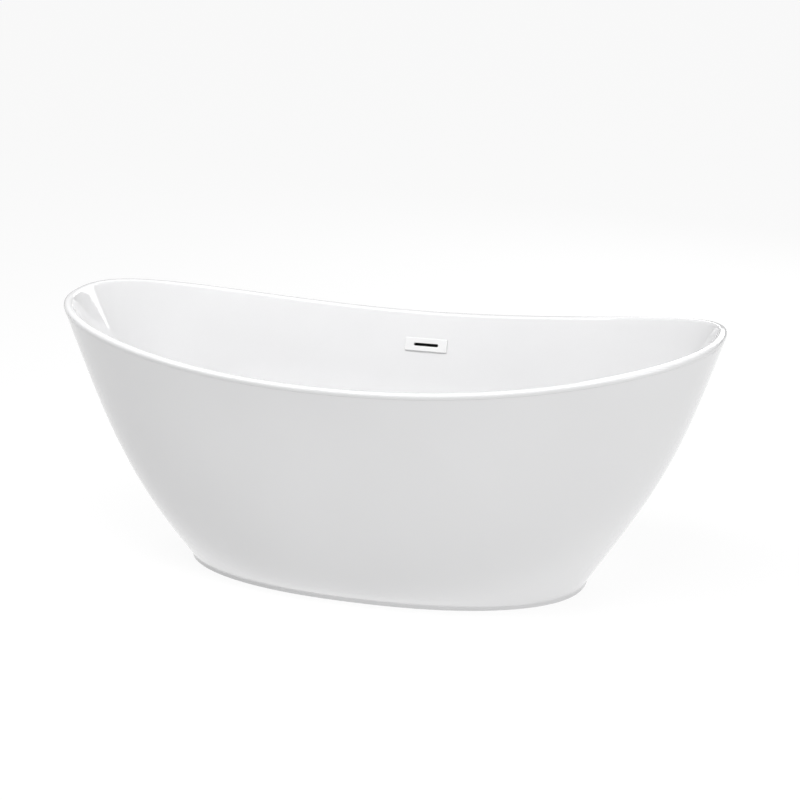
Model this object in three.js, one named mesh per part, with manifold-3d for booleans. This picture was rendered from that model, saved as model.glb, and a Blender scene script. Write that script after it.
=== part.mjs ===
// Freestanding double-ended slipper bathtub, in millimetres, +Z up, long side along X.
// The origin is on the floor under the middle of the tub. The overflow is in the long wall on the +Y side.
// Two acrylic skins meet in a rolled rim: the basin inside and the apron outside. A steel frame on four
// levelling feet carries the basin, and a pop-up waste with an overflow hose drains it.

import * as THREE from "three";
import { mergeVertices } from "three/addons/utils/BufferGeometryUtils.js";
import Module from "manifold-3d";

// ---------------------------------------------------------------- driving dimensions

const LENGTH = 1700;
const WIDTH = 760;
const END_HEIGHT = 680; // top of the rim at the two raised ends
const SIDE_HEIGHT = 583; // top of the rim at the dip in the middle of the long sides
const BASE_LENGTH = 1058;
const BASE_WIDTH = 540;
const TOE_HEIGHT = 10; // short upright toe under the leaning wall
const APRON_THICKNESS = 5;
const FLANGE_WIDTH = 35; // inturned flange that stands on the floor
const FLANGE_THICKNESS = 6;

const RIM_WIDTH = 22;
const RIM_OUTER_RADIUS = 8;
const RIM_INNER_RADIUS = 10;
const RIM_INNER_TURN = 0.41; // radians from level at which the inner round runs into the basin's wall
const LIP_DEPTH = 14; // how far the rolled rim comes down outside
const LIP_TURN = 0.245; // radians by which the lip turns in under its widest line

const BASIN_THICKNESS = 6;
const FLOOR_HEIGHT = 140; // upper face of the basin's floor
const FLOOR_LENGTH = 940;
const FLOOR_WIDTH = 390;

// Exponents of the superellipses that the tub's level outlines follow.
const RIM_EXPONENT = 2.4;
const BASE_EXPONENT = 2.25;
const FLOOR_EXPONENT = 2.8;

// Wall profiles as cubic Bezier curves from the foot (0, 0) to the rim (1, 1): [share out, share up].
const APRON_END = [[0.6, 0.45], [0.68, 0.51]];
const APRON_SIDE = [[0.85, 0.1], [0.6, 0.55]];
const BASIN_END = [[0.3, 0], [0.55, 0.3]];
const BASIN_SIDE = [[0.42, 0], [0.26, 0.38]];

const ROUND_STEPS = 56; // steps round the tub
const WALL_STEPS = 8; // steps up each face of a skin
const GAP = 0.4; // between pieces that touch

const DRAIN_Y = 90;
const OVERFLOW_X = 12;
const OVERFLOW_DROP = 82; // from the rim's dip down to the middle of the overflow slot

const TUBE = 30; // square frame tube
const TUBE_WALL = 2;
const BOARD_THICKNESS = 18;
const RAIL_Y = 150;
const RAIL_LENGTH = 830;
const CROSSBAR_XS = { left: -385, mid_left: -140, mid_right: 140, right: 385 };

// Levelling feet: the stud's place, and which way its bracket reaches back to the tube that it hangs from.
const FEET = [
  { x: -345, y: -112, reach: [-1, -1] },
  { x: 345, y: -112, reach: [1, -1] },
  { x: -345, y: 112, reach: [-1, 1] },
  { x: 345, y: 112, reach: [1, 1] },
];
const STUD_RADIUS = 6;

const SKIRT_STRAPS = [[-250, -1], [250, -1], [-250, 1], [250, 1]]; // x, side
const FRAME_SCREWS = [["left", -60], ["left", 60], ["right", -60], ["right", 60]]; // crossbar, y

// ---------------------------------------------------------------- materials

const finish = (color, roughness, metalness) =>
  new THREE.MeshStandardMaterial({ color, roughness, metalness });
const ACRYLIC = finish(0xf1f1f2, 0.08, 0);
const COVER_WHITE = finish(0xf4f4f4, 0.12, 0);
const ADHESIVE = finish(0xd9d6cc, 0.6, 0);
const PLYWOOD = finish(0xb9935f, 0.7, 0);
const GALVANISED = finish(0xa9adb0, 0.45, 0.9);
const ZINC = finish(0xc4c6c8, 0.35, 0.9);
const CHROME = finish(0xe6e8ea, 0.05, 1);
const BLACK_PLASTIC = finish(0x202124, 0.5, 0);
const GREY_PLASTIC = finish(0x8f9396, 0.45, 0);
const RUBBER = finish(0x161617, 0.8, 0);

// ---------------------------------------------------------------- shape helpers

const wasm = await Module();
wasm.setup();

const bathtub = new THREE.Group();

function add(name, geometry, material, place = [0, 0, 0], parent = bathtub) {
  const mesh = new THREE.Mesh(geometry, material);
  mesh.name = name;
  mesh.position.set(...place);
  parent.add(mesh);
  return mesh;
}

// A closed geometry as a manifold-3d solid.
function solid(geometry) {
  const bare = new THREE.BufferGeometry();
  const flat = geometry.index ? geometry.toNonIndexed() : geometry;
  bare.setAttribute("position", flat.getAttribute("position"));
  const merged = mergeVertices(bare, 1e-3);
  return new wasm.Manifold(
    new wasm.Mesh({
      numProp: 3,
      vertProperties: merged.attributes.position.array,
      triVerts: new Uint32Array(merged.index.array),
    }),
  );
}

// A manifold-3d solid as a geometry.
function surface(made) {
  const { vertProperties, triVerts } = made.getMesh();
  return new THREE.BufferGeometry()
    .setAttribute("position", new THREE.BufferAttribute(vertProperties, 3))
    .setIndex(new THREE.BufferAttribute(triVerts, 1));
}

const join = (geometry, ...others) =>
  surface(others.reduce((made, o) => made.add(solid(o)), solid(geometry)));
const cut = (geometry, ...tools) =>
  surface(tools.reduce((made, t) => made.subtract(solid(t)), solid(geometry)));

// An upright cylinder from one height to another, or lying along Y from one Y to another.
function post(radius, from, to, { x = 0, y = 0, steps = 24 } = {}) {
  return new THREE.CylinderGeometry(radius, radius, to - from, steps)
    .rotateX(Math.PI / 2)
    .translate(x, y, (from + to) / 2);
}

function rod(radius, from, to, { x = 0, z = 0, steps = 24 } = {}) {
  return new THREE.CylinderGeometry(radius, radius, to - from, steps).translate(x, (from + to) / 2, z);
}

function box([x0, x1], [y0, y1], [z0, z1]) {
  return new THREE.BoxGeometry(x1 - x0, y1 - y0, z1 - z0)
    .translate((x0 + x1) / 2, (y0 + y1) / 2, (z0 + z1) / 2);
}

// A solid of revolution about Z from [radius, height] points that go up the outside and down the inside.
function turned(points, steps = 24) {
  const profile = [...points, points[0]].map(([r, z]) => new THREE.Vector2(r, z));
  return new THREE.LatheGeometry(profile, steps).rotateX(Math.PI / 2);
}

const washer = (inner, outer, from, to, steps = 24) =>
  turned([[outer, from], [outer, to], [inner, to], [inner, from]], steps);

// A rectangle with round corners, centred, as a shape in X and Y.
function roundedRectangle(width, height, radius, Kind = THREE.Shape) {
  const [w, h] = [width / 2 - radius, height / 2 - radius];
  return new Kind()
    .absarc(w, h, radius, 0, Math.PI / 2)
    .absarc(-w, h, radius, Math.PI / 2, Math.PI)
    .absarc(-w, -h, radius, Math.PI, 1.5 * Math.PI)
    .absarc(w, -h, radius, 1.5 * Math.PI, 2 * Math.PI);
}

// A flat plate with round corners that stands in the XZ plane, from one Y to another. It can have a window.
function plate(width, height, radius, from, to, window) {
  const shape = roundedRectangle(width, height, radius);
  if (window) shape.holes.push(roundedRectangle(...window, THREE.Path));
  return new THREE.ExtrudeGeometry(shape, { depth: to - from, bevelEnabled: false, curveSegments: 3 })
    .rotateX(Math.PI / 2)
    .translate(0, to, 0);
}

// ---------------------------------------------------------------- the tub's own surfaces

const signedPower = (value, power) => Math.sign(value) * Math.abs(value) ** power;

// A point of the level outline with half axes a and b, at a height.
const oval = (a, b, exponent, theta, z) => [
  a * signedPower(Math.cos(theta), 2 / exponent),
  b * signedPower(Math.sin(theta), 2 / exponent),
  z,
];

// One coordinate of a cubic Bezier from 0 to 1 with the given two middle values.
const bezier = (c1, c2, s) => 3 * (1 - s) ** 2 * s * c1 + 3 * (1 - s) * s ** 2 * c2 + s ** 3;

const mix = (from, to, share) => from + (to - from) * share;

// Height of the top of the rim: a parabola along the tub that rises to both ends.
function rimHeight(theta) {
  const along = signedPower(Math.cos(theta), 2 / RIM_EXPONENT);
  return SIDE_HEIGHT + (END_HEIGHT - SIDE_HEIGHT) * along ** 2;
}

// A point of a wall that leans out from a lower oval to an upper one, at share s of its way up.
function wallPoint(lower, upper, ends, sides, theta, s) {
  const endShare = Math.cos(theta) ** 2;
  const up = mix(bezier(sides[0][1], sides[1][1], s), bezier(ends[0][1], ends[1][1], s), endShare);
  return oval(
    mix(lower.a, upper.a, bezier(ends[0][0], ends[1][0], s)),
    mix(lower.b, upper.b, bezier(sides[0][0], sides[1][0], s)),
    mix(lower.exponent, upper.exponent, s),
    theta,
    mix(lower.z, rimHeight(theta) - upper.drop, up),
  );
}

// The lip leans in below its round, so that the rim and the apron read as one line.
const LIP_INSET =
  RIM_OUTER_RADIUS * (1 - Math.cos(LIP_TURN)) +
  (LIP_DEPTH - RIM_OUTER_RADIUS * (1 + Math.sin(LIP_TURN))) * Math.tan(LIP_TURN);

// The apron's outer face, moved in by an inset.
function apronPoint(theta, s, inset = 0) {
  const foot = {
    a: BASE_LENGTH / 2 - inset,
    b: BASE_WIDTH / 2 - inset,
    exponent: BASE_EXPONENT,
    z: TOE_HEIGHT,
  };
  const topInset = LIP_INSET + inset;
  const top = {
    a: LENGTH / 2 - topInset,
    b: WIDTH / 2 - topInset,
    exponent: RIM_EXPONENT,
    drop: LIP_DEPTH + GAP,
  };
  return wallPoint(foot, top, APRON_END, APRON_SIDE, theta, s);
}

// The basin's inner face.
const WALL_TOP_INSET = RIM_WIDTH - RIM_INNER_RADIUS * (1 - Math.cos(RIM_INNER_TURN));
const BASIN_FOOT = { a: FLOOR_LENGTH / 2, b: FLOOR_WIDTH / 2, exponent: FLOOR_EXPONENT, z: FLOOR_HEIGHT };
const BASIN_TOP = {
  a: LENGTH / 2 - WALL_TOP_INSET,
  b: WIDTH / 2 - WALL_TOP_INSET,
  exponent: RIM_EXPONENT,
  drop: RIM_INNER_RADIUS * (1 - Math.sin(RIM_INNER_TURN)),
};
const basinPoint = (theta, s) => wallPoint(BASIN_FOOT, BASIN_TOP, BASIN_END, BASIN_SIDE, theta, s);

// The unit normal of the basin's wall, pointing away from the bather.
function basinNormal(theta, s) {
  const step = 0.01;
  const at = (t, u) => new THREE.Vector3(...basinPoint(t, u));
  const low = Math.max(s - step, 0);
  const high = Math.min(s + step, 1);
  const along = at(theta + step, s).sub(at(theta - step, s));
  const up = at(theta, high).sub(at(theta, low));
  return along.cross(up).normalize();
}

function basinBack(theta, s) {
  const out = basinNormal(theta, s).multiplyScalar(BASIN_THICKNESS);
  return basinPoint(theta, s).map((value, k) => value + out.getComponent(k));
}

// A point near the rim: inset from its outermost line, and height above or below its top.
const rimPoint = (theta, inset, rise) =>
  oval(LENGTH / 2 - inset, WIDTH / 2 - inset, RIM_EXPONENT, theta, rimHeight(theta) + rise);

// A point near the base: inset from the toe's face, at a height.
const basePoint = (theta, inset, z) =>
  oval(BASE_LENGTH / 2 - inset, BASE_WIDTH / 2 - inset, BASE_EXPONENT, theta, z);

// A skin from rows of points round the tub, each row a function of the angle. The rows close on each
// other, or end in the two middle points of capEnds.
function skin(rows, capEnds) {
  const points = rows.flatMap((row) =>
    Array.from({ length: ROUND_STEPS }, (_, j) => row((2 * Math.PI * j) / ROUND_STEPS)),
  );
  const faces = [];
  const at = (i, j) => (i % rows.length) * ROUND_STEPS + (j % ROUND_STEPS);
  const bands = capEnds ? rows.length - 1 : rows.length;
  for (let i = 0; i < bands; i++) {
    for (let j = 0; j < ROUND_STEPS; j++) {
      faces.push(at(i, j), at(i, j + 1), at(i + 1, j + 1), at(i, j), at(i + 1, j + 1), at(i + 1, j));
    }
  }
  if (capEnds) {
    const first = points.push(capEnds[0]) - 1;
    const last = points.push(capEnds[1]) - 1;
    for (let j = 0; j < ROUND_STEPS; j++) {
      faces.push(first, at(0, j + 1), at(0, j), last, at(rows.length - 1, j), at(rows.length - 1, j + 1));
    }
  }
  return new THREE.BufferGeometry()
    .setAttribute("position", new THREE.Float32BufferAttribute(points.flat(), 3))
    .setIndex(faces);
}

const range = (count, from, to) => Array.from({ length: count }, (_, i) => mix(from, to, i / (count - 1)));

// Rounded rows of the rim, from one angle to another about a centre given as inset and rise.
const rimArc = (inset, rise, radius, from, to) =>
  range(5, from, to).map((angle) => (theta) =>
    rimPoint(theta, inset + radius * Math.cos(angle), rise + radius * Math.sin(angle)),
  );

// ---------------------------------------------------------------- skins

const TONGUE = { near: 6.5, far: 9.5, top: -8.5, foot: -20 }; // apron's upstand inside the rolled rim

function outerApron() {
  const shell = skin([
    (theta) => basePoint(theta, FLANGE_WIDTH, 0),
    (theta) => basePoint(theta, 0, 0),
    ...range(WALL_STEPS, 0, 1).map((s) => (theta) => apronPoint(theta, s)),
    (theta) => rimPoint(theta, TONGUE.near, -LIP_DEPTH - GAP),
    (theta) => rimPoint(theta, TONGUE.near, TONGUE.top),
    (theta) => rimPoint(theta, TONGUE.far, TONGUE.top),
    (theta) => rimPoint(theta, TONGUE.far, TONGUE.foot),
    ...range(WALL_STEPS - 1, 0.92, 0).map((s) => (theta) => apronPoint(theta, s, APRON_THICKNESS)),
    (theta) => basePoint(theta, APRON_THICKNESS, FLANGE_THICKNESS),
    (theta) => basePoint(theta, FLANGE_WIDTH, FLANGE_THICKNESS),
  ]);
  const holes = SKIRT_STRAPS.map(([x, side]) =>
    post(SKIRT_HOLE, -1, FLANGE_THICKNESS + 1, { x, y: side * SKIRT_SCREW_Y, steps: 12 }),
  );
  return cut(shell, ...holes);
}

function innerBasin() {
  const [outer, inner] = [RIM_OUTER_RADIUS, RIM_INNER_RADIUS];
  const outerRound = rimArc(outer, -outer, outer, Math.PI + LIP_TURN, Math.PI / 2);
  const innerRound = rimArc(RIM_WIDTH - inner, -inner, inner, Math.PI / 2, RIM_INNER_TURN);
  const shell = skin(
    [
      ...range(WALL_STEPS + 2, 0, 1).map((s) => (theta) => basinBack(theta, s)),
      (theta) => rimPoint(theta, RIM_WIDTH - BASIN_THICKNESS - 2, -BASIN_THICKNESS),
      (theta) => rimPoint(theta, BASIN_THICKNESS, -BASIN_THICKNESS),
      (theta) => rimPoint(theta, BASIN_THICKNESS, -LIP_DEPTH),
      (theta) => rimPoint(theta, LIP_INSET, -LIP_DEPTH),
      ...outerRound,
      ...innerRound.slice(0, -1),
      ...range(WALL_STEPS + 2, 1, 0).map((s) => (theta) => basinPoint(theta, s)),
    ],
    [[0, 0, FLOOR_HEIGHT - BASIN_THICKNESS], [0, 0, FLOOR_HEIGHT]],
  );
  const boss = post(WASTE.bossRadius, WASTE.bossFoot, FLOOR_HEIGHT - 1, { y: DRAIN_Y });
  const recess = post(WASTE.recessRadius, WASTE.recessFloor, FLOOR_HEIGHT + 5, { y: DRAIN_Y });
  const hole = post(WASTE.holeRadius, WASTE.bossFoot - 5, FLOOR_HEIGHT, { y: DRAIN_Y });
  const screwHoles = [-1, 1].map((side) =>
    rod(OVERFLOW.screwHole, -5, 15, { x: side * OVERFLOW.screwX, steps: 16 }).applyMatrix4(overflowMatrix),
  );
  const window = plate(...OVERFLOW.window, -5, 15).applyMatrix4(overflowMatrix);
  const seat = plate(...OVERFLOW.seat, -5, 0).applyMatrix4(overflowMatrix);
  return cut(join(shell, boss), recess, hole, seat, window, ...screwHoles);
}

// Adhesive that bonds the apron's tongue to the back of the basin, inside the rolled rim.
function rimBond() {
  const [near, far] = [TONGUE.far + GAP, RIM_WIDTH - BASIN_THICKNESS - 2.5];
  return skin([
    (theta) => rimPoint(theta, far, -18),
    (theta) => rimPoint(theta, near, -18),
    (theta) => rimPoint(theta, near, -BASIN_THICKNESS - GAP),
    (theta) => rimPoint(theta, far, -BASIN_THICKNESS - GAP),
  ]);
}

// ---------------------------------------------------------------- board and frame

const BOARD_TOP = FLOOR_HEIGHT - BASIN_THICKNESS - GAP;
const BOARD_FOOT = BOARD_TOP - BOARD_THICKNESS;
const TUBE_TOP = BOARD_FOOT - GAP;
const TUBE_FOOT = TUBE_TOP - TUBE;
const FRAME_SCREW_RADIUS = 2.5;
const FRAME_SCREW_TOP = BOARD_FOOT + 12;

function floorBoard() {
  const inset = 12;
  const shape = new THREE.Shape(
    range(49, 0, 2 * Math.PI).slice(0, -1).map((theta) => {
      const [x, y] = oval(FLOOR_LENGTH / 2 - inset, FLOOR_WIDTH / 2 - inset, FLOOR_EXPONENT, theta, 0);
      return new THREE.Vector2(x, y);
    }),
  );
  shape.holes.push(new THREE.Path().absarc(0, DRAIN_Y, WASTE.bossRadius + 6, 0, 2 * Math.PI));
  const options = { depth: BOARD_THICKNESS, bevelEnabled: false, curveSegments: 12 };
  const board = new THREE.ExtrudeGeometry(shape, options).translate(0, 0, BOARD_FOOT);
  const pilots = FRAME_SCREWS.map(([bar, y]) =>
    post(FRAME_SCREW_RADIUS + GAP, BOARD_FOOT - 1, FRAME_SCREW_TOP + GAP, {
      x: CROSSBAR_XS[bar],
      y,
      steps: 12,
    }),
  );
  return cut(board, ...pilots);
}

// A square tube with open ends, along X or along Y, centred on its other axis.
function squareTube(axis, length) {
  const half = TUBE / 2;
  const bore = half - TUBE_WALL;
  const [outer, inner] = [[-half, half], [-bore, bore]];
  const span = [-length / 2, length / 2];
  const open = [span[0] - 1, span[1] + 1];
  return axis === "x"
    ? cut(box(span, outer, outer), box(open, inner, inner))
    : cut(box(outer, span, outer), box(inner, open, inner));
}

function crossbar(barName) {
  const x = CROSSBAR_XS[barName];
  const z = (TUBE_TOP + TUBE_FOOT) / 2;
  const bar = squareTube("y", 2 * RAIL_Y - TUBE - 2 * GAP).translate(x, 0, z);
  const holes = FRAME_SCREWS.filter(([bar]) => bar === barName).map(([, y]) =>
    post(FRAME_SCREW_RADIUS + GAP, TUBE_FOOT - 1, TUBE_TOP + 1, { x, y, steps: 12 }),
  );
  return cut(bar, ...holes);
}

// Pan-head screw that points up, with its head under the given height.
const frameScrew = () =>
  turned([[0, -3], [4, -3], [5, -2], [5, -GAP], [FRAME_SCREW_RADIUS, -GAP],
    [FRAME_SCREW_RADIUS, FRAME_SCREW_TOP - TUBE_FOOT - 3], [0, FRAME_SCREW_TOP - TUBE_FOOT]], 12);

const STRAP_THICKNESS = 3;
const STRAP_WIDTH = 30;
const SKIRT_SCREW_Y = 224;
const SKIRT_HOLE = 2.4;

// Bent strap from a rail's outer face down to the apron's flange, drawn for the +Y side.
function skirtStrap() {
  const near = RAIL_Y + TUBE / 2 + GAP;
  const foot = FLANGE_THICKNESS + GAP;
  const width = [-STRAP_WIDTH / 2, STRAP_WIDTH / 2];
  const upright = box(width, [near, near + STRAP_THICKNESS], [foot, TUBE_TOP - 4]);
  const sole = box([-STRAP_WIDTH / 2, STRAP_WIDTH / 2], [near, SKIRT_SCREW_Y + 11],
    [foot, foot + STRAP_THICKNESS]);
  const hole = post(SKIRT_HOLE, foot - 1, foot + STRAP_THICKNESS + 1, { y: SKIRT_SCREW_Y });
  return cut(join(upright, sole), hole);
}

// Pan-head screw that points down through a strap into the flange. Zero is the strap's upper face.
const skirtScrew = () =>
  turned([[0, -STRAP_THICKNESS - FLANGE_THICKNESS + 1], [2, -STRAP_THICKNESS - FLANGE_THICKNESS + 2.5],
    [2, GAP], [4.2, GAP], [4.2, 2.2], [3, 3], [0, 3]], 12);

// ---------------------------------------------------------------- levelling feet

const BRACKET_THICKNESS = 4;
const BRACKET_TOP = TUBE_FOOT - GAP;
const NUT_HEIGHT = 9;
const LOCK_NUT_HEIGHT = 6;
const NUT_RADIUS = 10.5;
const NUT_FOOT = BRACKET_TOP - BRACKET_THICKNESS - NUT_HEIGHT;
const STUD_FOOT = 6.5;
const STUD_TOP = 97;

const hexRing = (from, to, y = 0) =>
  cut(post(NUT_RADIUS, from, to, { steps: 6, y }), post(STUD_RADIUS + GAP, from - 1, to + 1, { y }));

// Plate welded under the frame, with a weld nut under the stud's hole. The stud is at the origin.
function footBracket([reachX, reachY]) {
  const span = (reach, near, far) => (reach > 0 ? [-near, far] : [-far, near]);
  const layer = [BRACKET_TOP - BRACKET_THICKNESS, BRACKET_TOP];
  const sheet = box(span(reachX, 16, 50), span(reachY, 16, 50), layer);
  const nut = post(NUT_RADIUS, NUT_FOOT, BRACKET_TOP - 1, { steps: 6 });
  return cut(join(sheet, nut), post(STUD_RADIUS + GAP, NUT_FOOT - 1, BRACKET_TOP + 1));
}

// Stud with a slotted, chamfered top and a rounded tip that turns in the pad's socket.
function footStud() {
  const shank = turned([[0, STUD_FOOT], [4, STUD_FOOT], [STUD_RADIUS, STUD_FOOT + 2],
    [STUD_RADIUS, STUD_TOP - 1.5], [STUD_RADIUS - 1.5, STUD_TOP], [0, STUD_TOP]], 16);
  return cut(shank, box([-8, 8], [-0.9, 0.9], [STUD_TOP - 2.5, STUD_TOP + 1]));
}

const footPad = () =>
  turned([[0, 0], [24, 0], [25, 1], [25, 4], [13, 11], [11, 16], [STUD_RADIUS + GAP, 16],
    [STUD_RADIUS + GAP, STUD_FOOT - GAP], [0, STUD_FOOT - GAP]], 20);

// ---------------------------------------------------------------- waste

const WASTE = {
  bossRadius: 46, bossFoot: 130, recessRadius: 37, recessFloor: 136, holeRadius: 25,
  flangeRadius: 36, throatRadius: 23, throatBore: 20, throatFoot: 100, spokeTop: 109,
  shoeFlange: 42, shoeRadius: 28, shoeBore: 18, shoeFoot: 40, branchZ: 66, branchReach: 76,
  tailRadius: 19, tailBore: 17, tailFoot: 14, hoseSpigot: 10.5, hoseBore: 8.5,
};
const SHOE_TOP = WASTE.bossFoot - 3 - 2 * GAP;

// Threaded flange with three spokes and a hub that holds the plug's cartridge.
function wasteFlange() {
  const { flangeRadius, throatRadius, throatBore, throatFoot, recessFloor, spokeTop } = WASTE;
  const body = turned([[throatRadius, throatFoot], [throatRadius, recessFloor + 1.6],
    [flangeRadius, recessFloor + 1.6], [flangeRadius, FLOOR_HEIGHT - 0.6], [flangeRadius - 1, FLOOR_HEIGHT],
    [throatBore + 3, FLOOR_HEIGHT], [throatBore, FLOOR_HEIGHT - 3], [throatBore, throatFoot]]);
  const spokes = [0, 1, 2].map((k) =>
    box([7, throatBore + 1], [-2, 2], [spokeTop - 5, spokeTop]).rotateZ((2 * Math.PI * k) / 3 + Math.PI / 2),
  );
  return join(body, washer(4.8, 9, spokeTop - 5, spokeTop, 24), ...spokes);
}

// Tee under the floor: the flange screws into its top, the overflow joins its side, the tailpiece its foot.
function drainShoe() {
  const { shoeFlange, shoeRadius, shoeBore, shoeFoot } = WASTE;
  const { branchZ, branchReach, throatRadius, throatFoot } = WASTE;
  const outside = turned([[0, shoeFoot], [shoeRadius, shoeFoot], [shoeRadius, SHOE_TOP - 8],
    [shoeFlange, SHOE_TOP - 5], [shoeFlange, SHOE_TOP], [0, SHOE_TOP]]);
  const branch = rod(17, 5, 46, { z: branchZ });
  const spigot = rod(WASTE.hoseSpigot, 40, branchReach, { z: branchZ });
  const socket = WASTE.tailRadius + GAP;
  const inside = turned([[0, shoeFoot - 1], [socket, shoeFoot - 1], [socket, 52],
    [shoeBore, 52], [shoeBore, throatFoot - 2], [throatRadius + GAP, throatFoot - 2],
    [throatRadius + GAP, SHOE_TOP + 1], [0, SHOE_TOP + 1]]);
  return cut(join(outside, branch, spigot), inside, rod(WASTE.hoseBore, 0, branchReach + 1, { z: branchZ }));
}

// Slip nut with six ribs round it, that grips the tailpiece under the shoe.
function slipNut() {
  const { shoeRadius, shoeFoot, tailRadius } = WASTE;
  const [outer, foot, top] = [shoeRadius + 4, shoeFoot - 8, shoeFoot + 8];
  const cup = turned([[tailRadius + GAP, foot], [outer, foot], [outer, top], [shoeRadius + GAP, top],
    [shoeRadius + GAP, foot + 4], [tailRadius + GAP, foot + 4]]);
  const ribs = range(7, 0, 2 * Math.PI).slice(0, -1)
    .map((angle) => box([outer - 1, outer + 2.5], [-3, 3], [foot, top]).rotateZ(angle));
  return join(cup, ...ribs);
}

const PLUG = { radius: 31, foot: 142, rim: 143.4, top: 146.2, stemRadius: 4, stemTop: 144, stemFoot: 102 };

// Shallow domed cap with a socket for the stem.
function plugCap() {
  const dome = range(5, 0, Math.PI / 2).map((angle) => [
    PLUG.radius * Math.cos(angle),
    mix(PLUG.rim, PLUG.top, Math.sin(angle)),
  ]);
  dome[dome.length - 1][0] = 0;
  return turned([[PLUG.stemRadius + GAP, PLUG.foot], [PLUG.radius - 1, PLUG.foot], ...dome,
    [0, PLUG.stemTop + GAP], [PLUG.stemRadius + GAP, PLUG.stemTop + GAP]], 28);
}

// Compression spring round the stem, from the cartridge up to the cap.
function plugSpring() {
  const { wire, coil, turns, from, to } = { wire: 0.8, coil: 6.4, turns: 5, from: 127.4, to: 140.6 };
  class Helix extends THREE.Curve {
    getPoint(t, target = new THREE.Vector3()) {
      const angle = 2 * Math.PI * turns * t;
      return target.set(coil * Math.cos(angle), coil * Math.sin(angle), mix(from, to, t));
    }
  }
  const section = new THREE.Shape().absarc(0, 0, wire, 0, 2 * Math.PI);
  const path = new Helix();
  return new THREE.ExtrudeGeometry(section, { steps: turns * 10, curveSegments: 3, extrudePath: path });
}

// ---------------------------------------------------------------- overflow

// Sizes in the overflow's own frame: the origin is on the basin's face, Y goes out through the wall, Z up it.
const OVERFLOW = {
  cover: [118, 36, 3], slot: [68, 8, 3.9], coverThickness: 4, seat: [120, 38, 4],
  window: [80, 20, 6], sleeve: [77, 17, 5], sleeveReach: 12,
  bodyFrom: BASIN_THICKNESS + 3 + 3 * GAP, bodyTo: 32, bodySize: [110, 30, 5], chamber: [82, 21, 6],
  spigotY: 24, spigotFoot: -46, screwX: 47, screwHole: 2.4,
};

// Height share on the basin's wall at which the side wall reaches a height.
function shareAtHeight(height) {
  let [low, high] = [0, 1];
  for (let k = 0; k < 40; k++) {
    const middle = (low + high) / 2;
    if (basinPoint(Math.PI / 2, middle)[2] < height) low = middle;
    else high = middle;
  }
  return low;
}

function overflowPlacement() {
  const s = shareAtHeight(SIDE_HEIGHT - OVERFLOW_DROP);
  const out = basinNormal(Math.PI / 2, s);
  const group = new THREE.Group();
  group.position.set(...basinPoint(Math.PI / 2, s));
  group.position.x = OVERFLOW_X;
  group.rotation.x = Math.atan2(out.z, out.y);
  group.updateMatrix();
  return group;
}

const overflowGroup = overflowPlacement();
const overflowMatrix = overflowGroup.matrix;

// Cover plate with the slot, and a sleeve that plugs through the wall's window.
function overflowCover() {
  const { cover, slot, coverThickness, sleeve, sleeveReach, screwX } = OVERFLOW;
  const face = plate(...cover, -coverThickness - GAP, -GAP, slot);
  const [width, height, radius] = sleeve;
  const plug = plate(width, height, radius, -GAP - 1, sleeveReach, [width - 6, height - 6, radius - 2]);
  const pockets = [-1, 1].map((side) => rod(5, -GAP - 2.6, 5, { x: side * screwX, steps: 16 }));
  return cut(join(face, plug), ...pockets);
}

const overflowGasket = () =>
  cut(plate(106, 28, 5, BASIN_THICKNESS + 2 * GAP, BASIN_THICKNESS + 3 + 2 * GAP, OVERFLOW.chamber),
    ...[-1, 1].map((side) => rod(OVERFLOW.screwHole, 0, 20, { x: side * OVERFLOW.screwX, steps: 16 })));

// Housing behind the wall: it catches the water and turns it down into the hose.
function overflowBody() {
  const { bodySize, bodyFrom, bodyTo, chamber, spigotY, spigotFoot, screwX, screwHole } = OVERFLOW;
  const block = plate(...bodySize, bodyFrom, bodyTo);
  const spigot = post(WASTE.hoseSpigot, spigotFoot, -5, { y: spigotY });
  const hollow = plate(...chamber, bodyFrom - 1, bodyTo - 3);
  const bore = post(WASTE.hoseBore, spigotFoot - 1, -chamber[1] / 2 + 1, { y: spigotY });
  const screws = [-1, 1].map((side) =>
    rod(screwHole, bodyFrom - 1, bodyFrom + 15, { x: side * screwX, steps: 16 }),
  );
  return cut(join(block, spigot), hollow, bore, ...screws);
}

// Pan-head screw along Y, with its head on the basin's face.
const overflowScrew = () =>
  turned([[0, -2.6], [3, -2.6], [4.3, -1.6], [4.3, -GAP], [2, -GAP], [2, 20], [0, 22]], 12)
    .rotateX(-Math.PI / 2);

const HOSE_RADIUS = 13.5;
const HOSE_BORE = 11.6;
const SPIGOT_GRIP = 22; // how far the hose is pushed over a spigot

// Route of the hose: down behind the basin's wall, and round under the rail to the shoe's branch.
function hoseRoute() {
  const { spigotY, spigotFoot } = OVERFLOW;
  const local = (z) => new THREE.Vector3(0, spigotY, z).applyMatrix4(overflowMatrix);
  const branchEnd = DRAIN_Y + WASTE.branchReach;
  const at = (y, z) => new THREE.Vector3(Math.max(0, OVERFLOW_X * (z - 125)) / 325, y, z);
  return new THREE.CatmullRomCurve3([
    local(spigotFoot + SPIGOT_GRIP), local(spigotFoot), at(322, 375), at(308, 290), at(290, 200),
    at(260, 125), at(218, 75), at(branchEnd + 12, WASTE.branchZ + 1), at(branchEnd, WASTE.branchZ),
    at(branchEnd - SPIGOT_GRIP, WASTE.branchZ),
  ]);
}

function overflowHose() {
  const section = new THREE.Shape().absarc(0, 0, HOSE_RADIUS, 0, 2 * Math.PI);
  section.holes.push(new THREE.Path().absarc(0, 0, HOSE_BORE, 0, 2 * Math.PI));
  return new THREE.ExtrudeGeometry(section, { steps: 32, curveSegments: 6, extrudePath: hoseRoute() });
}

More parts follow.
